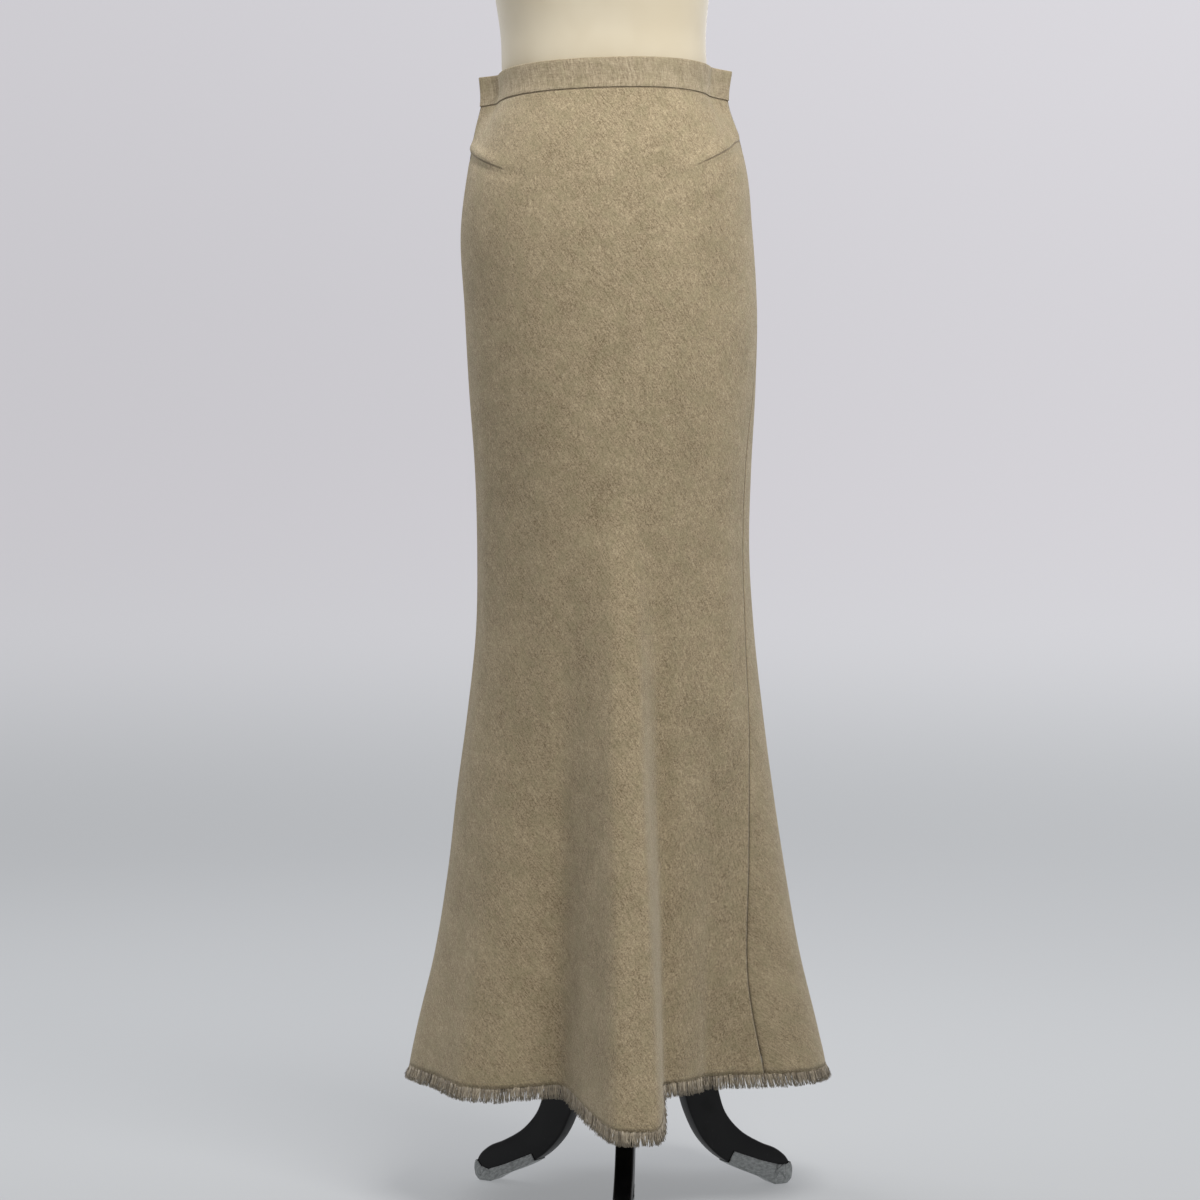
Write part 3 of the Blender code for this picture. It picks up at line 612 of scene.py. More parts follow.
@dataclass(frozen=True)
class ZipCloth:
    """Narrow woven tape, herringbone ribs in the cloth's colour."""

    name: str = "zip_cloth"
    rib: float = 0.0009

    def make(self) -> bpy.types.Material:
        """Builds the material."""
        graph = Graph(self.name)
        x, _, z = graph.parts(graph.place())
        slant = graph.plus(graph.times(graph.number("ABSOLUTE", x), 0.9), z)
        rib = graph.ribs(slant, self.rib)
        fine = graph.noise(graph.place(), 1800.0, 2.0)
        colour = graph.blend(graph.times(rib, fine), (0.17, 0.125, 0.075), (0.36, 0.285, 0.185))
        return graph.finish(colour, 0.8, graph.bump(rib, 0.0002, 0.7), Sheen_Weight=0.15)


@dataclass(frozen=True)
class ZipMetal:
    """Lacquered zip metal in the cloth's colour, rubbed bright on its edges."""

    name: str = "zip_lacquered_metal"

    def make(self) -> bpy.types.Material:
        """Builds the material."""
        graph = Graph(self.name)
        place = graph.place()
        rubbed = graph.spread(graph.noise(place, 900.0, 3.0), 0.55, 0.7)
        colour = graph.blend(rubbed, (0.24, 0.185, 0.115), (0.50, 0.44, 0.34))
        normal = graph.bump(graph.noise(place, 3500.0, 2.0), 0.00004, 0.5)
        return graph.finish(colour, graph.spread(rubbed, 0.0, 1.0, 0.42, 0.28), normal, Metallic=0.75)


@dataclass(frozen=True)
class StudioPaper:
    """Pale seamless paper for the floor and the walls round it, with painted light: it glows, as if lit
    softly from behind.
    """

    colour: tuple = (0.263, 0.258, 0.270)
    floor_colour: tuple = (0.256, 0.263, 0.270)
    front_colour: tuple = (0.15, 0.148, 0.15)
    glow_floor: float = 1.24
    glow_wall: float = 1.80
    front_share: float = 0.13

    def make(self) -> bpy.types.Material:
        """Builds the material: the glow grows up the wall, to the right and towards the back."""
        graph = Graph("studio_paper")
        x, y, z = graph.parts(graph.place())
        # painted light: the paper glows (emission), more up the wall, to the right and towards the back,
        # much less at the front
        glow = graph.spread(z, 0.0, 0.55, self.glow_floor, self.glow_wall)
        glow = graph.times(glow, graph.spread(z, 1.0, 3.2, 1.0, 1.15))
        glow = graph.times(glow, graph.spread(y, -3.5, 1.5, self.front_share, 1.0))
        glow = graph.times(glow, graph.spread(x, -2.2, 2.2, 0.93, 1.10))
        tint = graph.spread(graph.noise(graph.place(), 0.7, 1.0), 0.3, 0.7)
        paper = graph.blend(graph.spread(z, 0.0, 0.9), self.floor_colour, self.colour)
        graph.feed(paper, graph.shader.inputs["Emission Color"])
        paper = graph.blend(graph.times(tint, 0.02), paper, (0.2, 0.2, 0.2))
        paper = graph.blend(graph.spread(y, -1.6, 0.3), self.front_colour, paper)
        graph.feed(glow, graph.shader.inputs["Emission Strength"])
        return graph.finish(paper, 0.95, None, Specular_IOR_Level=0.1)


# ---------------------------------------------------------------- the skirt's drape


@dataclass(frozen=True)
class Fold:
    """A fold that grows from one height down to the hem."""

    crest_from: float
    crest_to: float
    left_flank: float
    right_flank: float
    reach: float
    begins: float
    softness: float = 2.2

    def profile(self, angles: Array) -> Array:
        """(1 - t)^1.6 down each flank, then rounded by a Gaussian of `softness` degrees."""
        middle = (self.crest_from + self.crest_to) / 2
        crest = (self.crest_to - self.crest_from) / 2
        past = turn_between(angles, middle)
        flank = np.where(past < 0, self.left_flank, self.right_flank)
        sharp = np.clip(1 - (np.abs(past) - crest) / flank, 0.0, 1.0) ** 1.6
        spread = np.exp(-0.5 * (turn_between(angles, angles[0]) / self.softness) ** 2)
        return np.fft.ifft(np.fft.fft(sharp) * np.fft.fft(spread / spread.sum())).real

    def growth(self, height: Array, hem: float) -> Array:
        """((begins - z) / (begins - hem))^1.25 below the height where it begins."""
        return np.clip((self.begins - height) / (self.begins - hem), 0.0, 1.3) ** 1.25


@dataclass(frozen=True)
class Crease:
    """A soft ridge (or trough, with a negative rise) along a line down the cloth."""

    top_angle: float
    top_height: float
    low_angle: float
    low_height: float
    spread: float
    rise: float

    def lift(self, angle: Array, height: Array) -> Array:
        """rise * exp(-(off / spread)^2) beside the line, swelling and fading as sin^1.5 along it."""
        share = np.clip((self.top_height - height) / (self.top_height - self.low_height), 0.0, 1.0)
        line = self.top_angle + (self.low_angle - self.top_angle) * share
        off = turn_between(angle - line, 0.0)
        return self.rise * np.exp(-((off / self.spread) ** 2)) * np.sin(np.pi * share) ** 1.5


@dataclass
class Drape:
    """Shape of the skirt's cloth: oval levels, folds, creases and the pinched ears of the waist."""

    side_plane: float = 0.019
    seam_height: float = 1.0945
    band_height: float = 0.0297
    band_rise: float = 0.0030
    hem_height: float = 0.136
    hem_dip: float = 0.19
    seam_pull: float = 45.0
    # height, mid_x, half_width, front, back, ear, squareness
    levels: tuple = (
        (1.1300, -0.0117, 0.1268, 0.0915, 0.0905, 0.0195, 2.30),
        (1.0945, -0.0123, 0.1243, 0.0915, 0.0900, 0.0170, 2.30),
        (1.0686, -0.0112, 0.1313, 0.0980, 0.0965, 0.0120, 2.25),
        (1.0286, -0.0098, 0.1393, 0.1080, 0.1090, 0.0030, 2.20),
        (0.9686, -0.0105, 0.1455, 0.1170, 0.1220, 0.0000, 2.15),
        (0.8886, -0.0062, 0.1460, 0.1210, 0.1270, 0.0000, 2.10),
        (0.8086, -0.0048, 0.1430, 0.1215, 0.1240, 0.0000, 2.10),
        (0.7286, -0.0040, 0.1380, 0.1205, 0.1190, 0.0000, 2.05),
        (0.6486, -0.0038, 0.1360, 0.1190, 0.1150, 0.0000, 2.00),
        (0.5686, -0.0020, 0.1390, 0.1180, 0.1140, 0.0000, 2.00),
        (0.4886, -0.0018, 0.1475, 0.1175, 0.1180, 0.0000, 2.00),
        (0.4086, -0.0020, 0.1580, 0.1180, 0.1250, 0.0000, 2.00),
        (0.3286, -0.0006, 0.1685, 0.1195, 0.1350, 0.0000, 2.00),
        (0.2486, 0.0000, 0.1820, 0.1215, 0.1470, 0.0000, 2.00),
        (0.1686, 0.0002, 0.2010, 0.1240, 0.1630, 0.0000, 2.00),
        (0.1360, 0.0005, 0.2078, 0.1250, 0.1700, 0.0000, 2.00),
        (0.1000, 0.0005, 0.2110, 0.1260, 0.1730, 0.0000, 2.00),
    )
    folds: tuple = (
        Fold(-1.0, 9.0, 25.0, 11.0, 0.1180, 0.70, 1.3),
        Fold(-54.0, -43.0, 22.0, 24.0, 0.0250, 0.46),
        Fold(46.0, 58.0, 24.0, 20.0, -0.0360, 0.50),
        Fold(-121.0, -114.0, 16.0, 18.0, 0.0160, 0.48),
        Fold(-158.0, -149.0, 24.0, 26.0, 0.0420, 0.62),
        Fold(150.0, 158.0, 26.0, 20.0, 0.0480, 0.64),
        Fold(108.0, 115.0, 18.0, 18.0, 0.0150, 0.50),
    )
    creases: tuple = (
        Crease(-48.0, 0.90, -40.0, 0.30, 7.0, -0.0014),
        Crease(-66.0, 1.00, -70.0, 0.42, 6.0, 0.0012),
        Crease(24.0, 0.84, 30.0, 0.22, 7.0, 0.0015),
        Crease(44.0, 0.98, 38.0, 0.50, 8.0, -0.0013),
        Crease(60.0, 0.78, 52.0, 0.30, 5.0, 0.0012),
        Crease(-80.0, 0.70, -84.0, 0.20, 5.0, -0.0012),
        Crease(128.0, 0.94, 140.0, 0.30, 8.0, 0.0018),
        Crease(164.0, 0.88, 172.0, 0.36, 7.0, -0.0016),
        Crease(-170.0, 0.80, -160.0, 0.24, 7.0, 0.0015),
        Crease(-132.0, 0.98, -126.0, 0.40, 8.0, -0.0015),
        Crease(-104.0, 0.86, -100.0, 0.26, 6.0, 0.0013),
        Crease(98.0, 0.82, 92.0, 0.34, 6.0, -0.0012),
    )
    right_seam: tuple = (
        (1.100, 90.0), (0.950, 89.0), (0.850, 83.0), (0.760, 74.0), (0.630, 72.0),
        (0.500, 68.0), (0.350, 63.5), (0.230, 61.5), (0.136, 64.0),
    )  # fmt: skip
    left_seam: tuple = ((1.100, -90.0), (0.950, -91.0), (0.600, -94.0), (0.136, -97.0))
    # height, left, right
    ear_spread: tuple = (
        (1.140, 8.0, 13.0), (1.100, 8.5, 14.0), (1.075, 15.0, 18.0), (1.040, 28.0, 28.0),
        (1.000, 30.0, 30.0),
    )  # fmt: skip
    circle: Array = field(default_factory=lambda: np.arange(-180.0, 180.0, 0.25))

    def __post_init__(self) -> None:
        """Works out each fold's rounded profile once."""
        self.profiles = [fold.profile(self.circle) for fold in self.folds]

    def fold_reach(self, angle: Array, height: Array) -> Array:
        """Sum of the folds at these angles and heights."""
        total = np.zeros(np.broadcast(angle, height).shape)
        wrapped = turn_between(angle, 0.0)
        for fold, profile in zip(self.folds, self.profiles):
            shape = np.interp(wrapped, self.circle, profile, period=360.0)
            total = total + fold.reach * fold.growth(height, self.hem_height) * shape
        return total

    def ear_reach(self, angle: Array, height: Array, ear: Array) -> Array:
        """The pinched point at each side: ear * (1 - off / spread)^1.6, wider lower down."""
        left, right = np.moveaxis(smooth_table(self.ear_spread, height), -1, 0)
        spread = np.where(np.asarray(angle) < 0, left, right)
        off = np.abs(np.abs(turn_between(angle, 0.0)) - 90.0)
        return ear * np.clip(1 - off / spread, 0.0, 1.0) ** 1.6

    def points(self, angle: Array, height: Array) -> Array:
        """Outer face of the cloth, without creases."""
        level = np.moveaxis(smooth_table(self.levels, height), -1, 0)
        mid_x, half, front, back, ear, squareness = level
        radius = oval_radius(angle, half - ear, front, back, squareness)
        radius = radius + self.ear_reach(angle, height, ear) + self.fold_reach(angle, height)
        turned = np.radians(angle)
        parts = (mid_x + radius * np.sin(turned), self.side_plane - radius * np.cos(turned), height)
        return np.stack(np.broadcast_arrays(*parts), axis=-1)

    def seam(self, angle: Array) -> Array:
        """Height of the waist seam, which tips with the form."""
        return self.seam_height + self.band_rise * np.sin(np.radians(angle))

    def hem(self, angle: Array) -> Array:
        """Height of the cut edge: cloth that stands out in a fold hangs lower."""
        return self.hem_height - self.hem_dip * np.maximum(self.fold_reach(angle, self.hem_height), 0.0)

    def drifted(self, station: Array, height: Array) -> Array:
        """A station's angle at this height; those near a side seam drift with it."""
        left = smooth_table(self.left_seam, height)[..., 0]
        right = smooth_table(self.right_seam, height)[..., 0]
        seam = np.where(station < 0, left, right)
        side = np.where(station < 0, -90.0, 90.0)
        share = np.clip(1 - np.abs(station - side) / self.seam_pull, 0.0, 1.0)
        return station + (seam - side) * share

    def crease_lift(self, angle: Array, height: Array) -> Array:
        """Sum of the creases."""
        total = np.zeros(np.broadcast(angle, height).shape)
        for crease in self.creases:
            total = total + crease.lift(angle, height)
        return total


@dataclass
class BodyPanel:
    """One panel of the skirt's body."""

    name: str
    first: float
    last: float
    cols: int
    rows: int
    flat_size: tuple[float, float]
    flat_area: float
    drape: Drape
    wall: float = 0.0008
    seam_clearance: float = 0.00012
    hip_height: float = 0.9
    under_band: float = 0.001
    band_shadow: float = 0.0015
    row_crowding: float = 1.12
    side_sink: float = 0.0003
    top_sink: float = 0.0005
    per_degree: float = 0.0025
    darts: tuple = ()

    def stations(self) -> Array:
        """Columns spaced by the cloth's length at the hem and the hip together."""
        fine = np.linspace(self.first, self.last, 2000)
        paces = []
        for height in (self.drape.hem_height, self.hip_height):
            level = np.full_like(fine, height)
            run = self.drape.points(self.drape.drifted(fine, level), level)
            pace = running_length(run[None], 1)[0]
            paces.append(pace / pace[-1])
        paces.append((fine - self.first) / (self.last - self.first))
        mixed = 0.5 * paces[0] + 0.3 * paces[1] + 0.2 * paces[2]
        return np.interp(np.linspace(0, 1, self.cols), mixed, fine)

    def build(self) -> bpy.types.Object:
        """Makes the panel's shell on its solid's form."""
        drape = self.drape
        stations = self.stations()
        share = np.linspace(0.0, 1.0, self.rows)[:, None] ** self.row_crowding
        top = drape.seam(stations) + self.under_band
        hem = drape.hem(drape.drifted(stations, np.full_like(stations, drape.hem_height)))
        height = top + (hem - top) * share
        angle = drape.drifted(np.broadcast_to(stations, height.shape), height)
        points = drape.points(angle, height)
        normals = grid_normals(points)
        down = running_length(points, 0)
        along = running_length(points, 1)
        side = np.minimum(along, along[:, -1:] - along)
        fade = smoothstep(side, 0.0, 0.03) * smoothstep(down, 0.0, 0.05)
        lift = drape.crease_lift(angle, height) * fade
        lift = lift - self.top_sink * (1 - smoothstep(down, 0.0, 0.006))
        lift = lift - self.side_sink * (1 - smoothstep(side, 0.0, 0.004))
        for dart in self.darts:
            lift = lift + dart.relief(angle, height)
        points = points + normals * lift[..., None]
        points = self.trimmed(points)
        grain_line = 0.0 if self.first * self.last < 0 else 180.0 * np.sign(self.first)
        middle = int(np.argmin(np.abs(stations - grain_line)))
        cloth = np.stack([along - along[:, middle:middle + 1], down], -1)
        # painted shade: the seam's shade line at the panel's top reaches band_shadow further down, as the
        # shade under the waistband
        edge = np.stack([side, down - self.band_shadow], -1)
        made = mesh_object(f"{self.name}_cloth", points, grid_faces(self.rows, self.cols),
                           {"cloth": cloth, "edge": edge})
        add_wall(made, self.wall)
        self.cloth_map, self.angle, self.height = cloth, angle, height
        return made

    def trimmed(self, points: Array) -> Array:
        """Pulls the two upright edges in so that neighbours don't touch."""
        points[:, 0] += unit(points[:, 1] - points[:, 0]) * self.seam_clearance
        points[:, -1] += unit(points[:, -2] - points[:, -1]) * self.seam_clearance
        return points

    def cloth_place(self, angle: float, height: float) -> tuple[float, float]:
        """UV place nearest to this angle and height."""
        beside = turn_between(self.angle, angle) * self.per_degree
        off = beside**2 + (self.height - height) ** 2
        row, col = np.unravel_index(np.argmin(off), off.shape)
        return tuple(float(v) for v in self.cloth_map[row, col])

    def dress(self, made: bpy.types.Object) -> None:
        """Finishes the panel."""
        lines = tuple(SewnLine(self.cloth_place(*dart.start), self.cloth_place(*dart.point))
                      for dart in self.darts)
        made.data.materials.append(Linen(f"linen_{self.name}", Grain.BIAS, darts=lines).make())
        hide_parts(self.name)


@dataclass(frozen=True)
class Dart:
    """A sewn dart from the side seam: start and point as (angle, height)."""

    start: tuple[float, float]
    point: tuple[float, float]
    swell: float
    per_degree: float = 0.0024

    def relief(self, angle: Array, height: Array) -> Array:
        """Swell above the sewn line, hollow below it, a small dimple past its point.

        Distances are taken on a flat map, x = angle * per_degree and y = height.
        """
        per_degree = self.per_degree
        start = np.array([self.start[0] * per_degree, self.start[1]])
        point = np.array([self.point[0] * per_degree, self.point[1]])
        run = point - start
        length = np.linalg.norm(run)
        run = run / length
        dx, dy = angle * per_degree - start[0], height - start[1]
        reach = (dx * run[0] + dy * run[1]) / length
        off = dy * abs(run[0]) - dx * run[1] * np.sign(run[0])
        body = smoothstep(reach, -0.1, 0.05) * (1 - smoothstep(reach, 0.55, 1.05))
        above = np.exp(-(((off - 0.0045) / 0.0055) ** 2))
        below = np.exp(-(((off + 0.0030) / 0.0040) ** 2))
        dimple = np.exp(-(((reach - 1.02) * length / 0.010) ** 2) - (off / 0.006) ** 2)
        return self.swell * body * (above - 0.75 * below) - 0.5 * self.swell * dimple


@dataclass
class WaistbandCloth:
    """Straight strip folded over at its top edge, its ends meeting at the centre back."""

    drape: Drape
    wall: float = 0.0022
    proud: float = 0.0003
    slit: float = 0.0022
    seam_gap: float = 0.00015
    cols: int = 420
    sharp_mitre: float = 0.35
    # degrees past the left ear's point, where the band folds most sharply
    ear_steps: tuple = (-4.4, -3.4, -2.4, -1.4, -0.6, 0.0, 0.6, 1.4, 2.4, 3.4, 4.4)

    def section(self) -> Array:
        """(depth inwards, height) round the strip: face, half-round top, back, half-round foot."""
        half = self.wall / 2
        low, high = half * 0.8, self.drape.band_height - half
        turns = np.linspace(0, np.pi, 7)
        over, under = turns[1:], turns[1:-1]
        rises = np.linspace(low, high, 9)
        face = np.column_stack([np.zeros(9), rises])
        top = np.column_stack([half - half * np.cos(over), high + half * np.sin(over)])
        back = np.column_stack([np.full(8, self.wall), rises[::-1][1:]])
        foot = np.column_stack([half + half * np.cos(under), low - low * np.sin(under)])
        return np.concatenate([face, top, back, foot])[::-1]

    def build(self) -> bpy.types.Object:
        """Carries the section round the waist."""
        ears = np.concatenate([-90.0 + np.array(self.ear_steps), [90.0]])
        stations = np.unique(np.concatenate([np.linspace(-180, 180, self.cols), ears]))
        section = self.section()
        foot = self.drape.seam(stations) + self.seam_gap
        rings = [self.drape.points(stations, foot + rise) for rise in section[:, 1]]
        grid = np.array([ring + self.inward(ring) * (depth - self.proud)
                         for ring, depth in zip(rings, section[:, 0])])
        for end, beside in ((0, 1), (-1, -2)):
            grid[:, end] += unit(grid[:, beside] - grid[:, end]) * (self.slit / 2)
        along = running_length(grid, 1)
        heights = np.broadcast_to(section[:, 1:], along.shape)
        side = np.minimum(along, along[:, -1:] - along)
        # painted shade: the edge map darkens the band along its foot and at its two ends, the shade of the
        # waist seam and of the slit
        maps = {"cloth": np.stack([along, heights], -1), "edge": np.stack([side, heights + 0.0002], -1)}
        rows, cols = grid.shape[:2]
        faces = grid_faces(rows, cols, closed_down=True).tolist()
        faces += [[j * cols for j in range(rows)], [j * cols + cols - 1 for j in reversed(range(rows))]]
        made = mesh_object("waistband_cloth", grid, faces, maps)
        turn_outwards(made)
        return made

    def inward(self, ring: Array) -> Array:
        """Level inward normals of an open ring, mitred, held to twice the wall at the pinched ears."""
        edges = unit(np.diff(ring[:, :2], axis=0))
        square = np.stack([-edges[:, 1], edges[:, 0]], axis=1)
        before = np.concatenate([square[:1], square])
        after = np.concatenate([square, square[-1:]])
        spread = np.maximum(1 + (after * before).sum(axis=1, keepdims=True), self.sharp_mitre)
        mitre = (after + before) / spread
        return np.column_stack([mitre, np.zeros(len(ring))])

    def dress(self, made: bpy.types.Object) -> None:
        """Finishes the band."""
        linen = Linen("linen_waistband", Grain.STRAIGHT, dark=(0.150, 0.112, 0.062),
                      light=(0.58, 0.485, 0.335), streaks=0.32, seam_shade_width=0.0006)
        made.data.materials.append(linen.make())
        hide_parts("waistband")


@dataclass
class FrayedHem:
    """Straight-grain strip inside the hem, its lower threads drawn out into a fringe."""

    drape: Drape
    reach: float = 0.0135
    header: float = 0.012
    below: float = 0.0030
    spacing: float = 0.00060
    layers: int = 3
    rings: int = 4
    seed: int = 7
    wall: float = 0.0007
    inside: float = 0.0014
    look_up: float = 0.03
    end_gap: float = 0.0002
    end_clear: float = 0.0008
    tuft_gap: tuple = (0.0024, 0.0068)
    yarn_depths: tuple = (-0.0013, -0.0004)
    stitch_pitch: float = 0.0031
    stitch_rise: float = 0.006
    stitch_half: float = 0.00095
    thread_half: float = 0.00016

    def hem_path(self, angles: Array) -> tuple:
        """Cloth edge, then unit directions down it, out of it and along it, at these angles."""
        stations = self.drape.drifted(angles, np.full_like(angles, self.drape.hem_height))
        edge = self.drape.hem(stations)
        low = self.drape.points(stations, edge)
        above = edge + self.look_up
        high = self.drape.points(self.drape.drifted(angles, above), above)
        down = unit(low - high)
        along = unit(np.gradient(low, axis=0))
        return low, down, unit(np.cross(down, along)), along

    def even_angles(self, count: int) -> Array:
        """Angles spaced evenly along the hem."""
        fine = np.linspace(-180.0, 180.0, 4000)
        low, *_ = self.hem_path(fine)
        pace = running_length(low[None], 1)[0]
        return np.interp(np.linspace(0, pace[-1], count), pace, fine)

    def hem_length(self) -> float:
        """Length of the hem's edge."""
        low, *_ = self.hem_path(np.linspace(-180.0, 180.0, 4000))
        return float(running_length(low[None], 1)[0, -1])

    def build_header(self) -> bpy.types.Object:
        """The unfrayed part of the strip, just inside the cloth and a little below its edge."""
        angles = self.even_angles(700)
        low, down, out, _ = self.hem_path(angles)
        depths = np.linspace(-self.header, self.below, 7)
        rows = np.array([low + down * depth - out * self.inside for depth in depths])
        for end, beside in ((0, 1), (-1, -2)):
            rows[:, end] += unit(rows[:, beside] - rows[:, end]) * self.end_gap
        along = running_length(rows, 1)
        depth = running_length(rows, 0)
        maps = {"cloth": np.stack([along, depth], -1), "edge": np.full((*along.shape, 2), 0.02)}
        made = mesh_object("hem_strip", rows, grid_faces(*rows.shape[:2]), maps)
        add_wall(made, self.wall)
        return made

    def scattered(self, chance: np.random.Generator, length: float) -> tuple:
        """Place of every yarn along the hem, and of the tufts that yarns draw together in."""
        per_layer = int(length / self.spacing)
        places = np.sort(np.concatenate([
            (np.arange(per_layer) + chance.uniform(-0.4, 0.4, per_layer)) * length / per_layer
            for _ in range(self.layers)]))
        places = np.clip(places, self.end_clear, length - self.end_clear)
        tufts = np.cumsum(chance.uniform(*self.tuft_gap, int(length / 0.0030)))
        return places, tufts[tufts < length]

    def spines(self, chance: np.random.Generator, places: Array, tufts: Array, tuft: Array,
               steps: Array) -> tuple:
        """Middle line of every yarn, with its directions along and out of the cloth.

        A yarn runs down from the strip, leans to its tuft's middle as t^1.6, sways as
        sin(pi t) and bends out as t^2.
        """
        fine = self.even_angles(4000)
        path = self.hem_path(fine)
        pace = running_length(path[0][None], 1)[0]
        read = [np.stack([np.interp(places, pace, line) for line in grid.T], axis=1) for grid in path]
        root, fall, outward, sideways = read[0], *(unit(grid) for grid in read[1:])
        count = len(places)
        pull = (tufts[tuft] - places) * chance.uniform(0.15, 0.70, count)
        tuft_reach = self.reach * chance.uniform(0.92, 1.04, len(tufts))[tuft]
        reach = tuft_reach * chance.uniform(0.90, 1.03, count)
        reach = np.where(chance.random(count) < 0.05, reach * 0.70, reach)
        depth = chance.choice(self.yarn_depths, count)[:, None] + chance.normal(0, 0.00018, (count, 1))
        lean = chance.normal(0, 0.0009, count)
        lean = lean + (chance.random(count) < 0.03) * chance.normal(0, 0.003, count)
        curl = chance.normal(0.0012, 0.0011, count)
        sway = chance.uniform(-1, 1, count) * 0.0006
        spine = np.array([
            root + outward * depth + fall * (reach * t)[:, None] - fall * (0.001 * (1 - t))
            + sideways * ((pull + lean) * t**1.6 + sway * math.sin(math.pi * t))[:, None]
            + outward * (curl * t * t)[:, None]
            for t in steps])
        return spine, sideways, outward

    def build_fringe(self) -> bpy.types.Object:
        """Every yarn as a slim three-sided tube that tapers as 1 - 0.45 t^3."""
        chance = np.random.default_rng(self.seed)
        places, tufts = self.scattered(chance, self.hem_length())
        tuft = np.abs(places[:, None] - tufts[None]).argmin(axis=1)
        steps = np.linspace(0, 1, self.rings)
        spine, sideways, outward = self.spines(chance, places, tufts, tuft, steps)
        count = len(places)
        radius = chance.uniform(0.00024, 0.00042, count)
        turn = np.radians([90.0, 210.0, 330.0])[None] + chance.uniform(0, 2 * np.pi, count)[:, None]
        width = 1.0 - 0.45 * steps**3
        rounds = np.cos(turn)[..., None] * sideways[:, None] + np.sin(turn)[..., None] * outward[:, None]
        thick = radius[None, :] * width[:, None]
        points = spine[:, :, None] + rounds[None] * thick[..., None, None]
        points = points.transpose(1, 0, 2, 3)
        per_yarn = self.rings * 3
        first = (np.arange(count) * per_yarn)[:, None, None]
        sides = grid_faces(self.rings, 3, closed_along=True)
        caps = np.array([[0, 1, 2], [per_yarn - 1, per_yarn - 2, per_yarn - 3]])
        faces = (sides[None] + first).reshape(-1, 4).tolist()
        faces += (caps[None] + first).reshape(-1, 3).tolist()
        own = chance.normal(0.40, 0.20, count) + chance.normal(0.0, 0.16, len(tufts))[tuft]
        own = np.clip(own + (chance.random(count) < 0.12) * 0.45, 0, 1)
        shade = np.broadcast_to(own[:, None, None], (count, self.rings, 3))
        place = np.broadcast_to(steps[None, :, None], shade.shape)
        made = mesh_object("hem_fringe_yarns", points, faces, {"yarn": np.stack([shade, place], -1)})
        turn_outwards(made)
        return made

    def build_stitches(self) -> bpy.types.Object:
        """The seam that holds the strip: short stitches just above the hem's edge, barely proud.

        Each stitch is an eight-cornered lens: its corners in half lengths, half widths and rises.
        """
        count = int(self.hem_length() / self.stitch_pitch)
        low, down, out, along = self.hem_path(self.even_angles(count + 1)[:-1])
        centre = low - down * self.stitch_rise + out * 0.00004
        corners = [(-1, -0.35, 0), (-0.6, -1, 0.4), (0.6, -1, 0.4), (1, -0.35, 0),
                   (1, 0.35, 0), (0.6, 1, 0.4), (-0.6, 1, 0.4), (-1, 0.35, 0)]
        half, thick = self.stitch_half, self.thread_half
        ring = np.array([centre + along * (a * half) + down * (b * thick) + out * (c * thick * 2)
                         for a, b, c in corners]).transpose(1, 0, 2)
        crown = centre + out * (thick * 1.6)
        points = np.concatenate([ring, crown[:, None]], axis=1)
        fan = np.array([[k, (k + 1) % 8, 8] for k in range(8)])
        faces = (fan[None] + (np.arange(count) * 9)[:, None, None]).reshape(-1, 3)
        shade = np.broadcast_to(np.array([0.42, 0.3]), (*points.shape[:2], 2))
        return mesh_object("hem_stitches", points, faces, {"yarn": shade})

    def build(self) -> tuple:
        """Makes the strip, its fringe and its stitches."""
        return self.build_header(), self.build_fringe(), self.build_stitches()

    def dress(self, header: bpy.types.Object, fringe: bpy.types.Object,
              stitches: bpy.types.Object) -> None:
        """Finishes the strip, its fringe and its stitches."""
        linen = Linen("linen_hem_strip", Grain.STRAIGHT, dark=(0.13, 0.10, 0.062),
                      light=(0.50, 0.43, 0.31))
        header.data.materials.append(linen.make())
        fringe.data.materials.append(FringeYarn().make())
        stitches.data.materials.append(FringeYarn("stitch_thread").make())
        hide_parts("hem_fringe")
        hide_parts("hem_fringe")


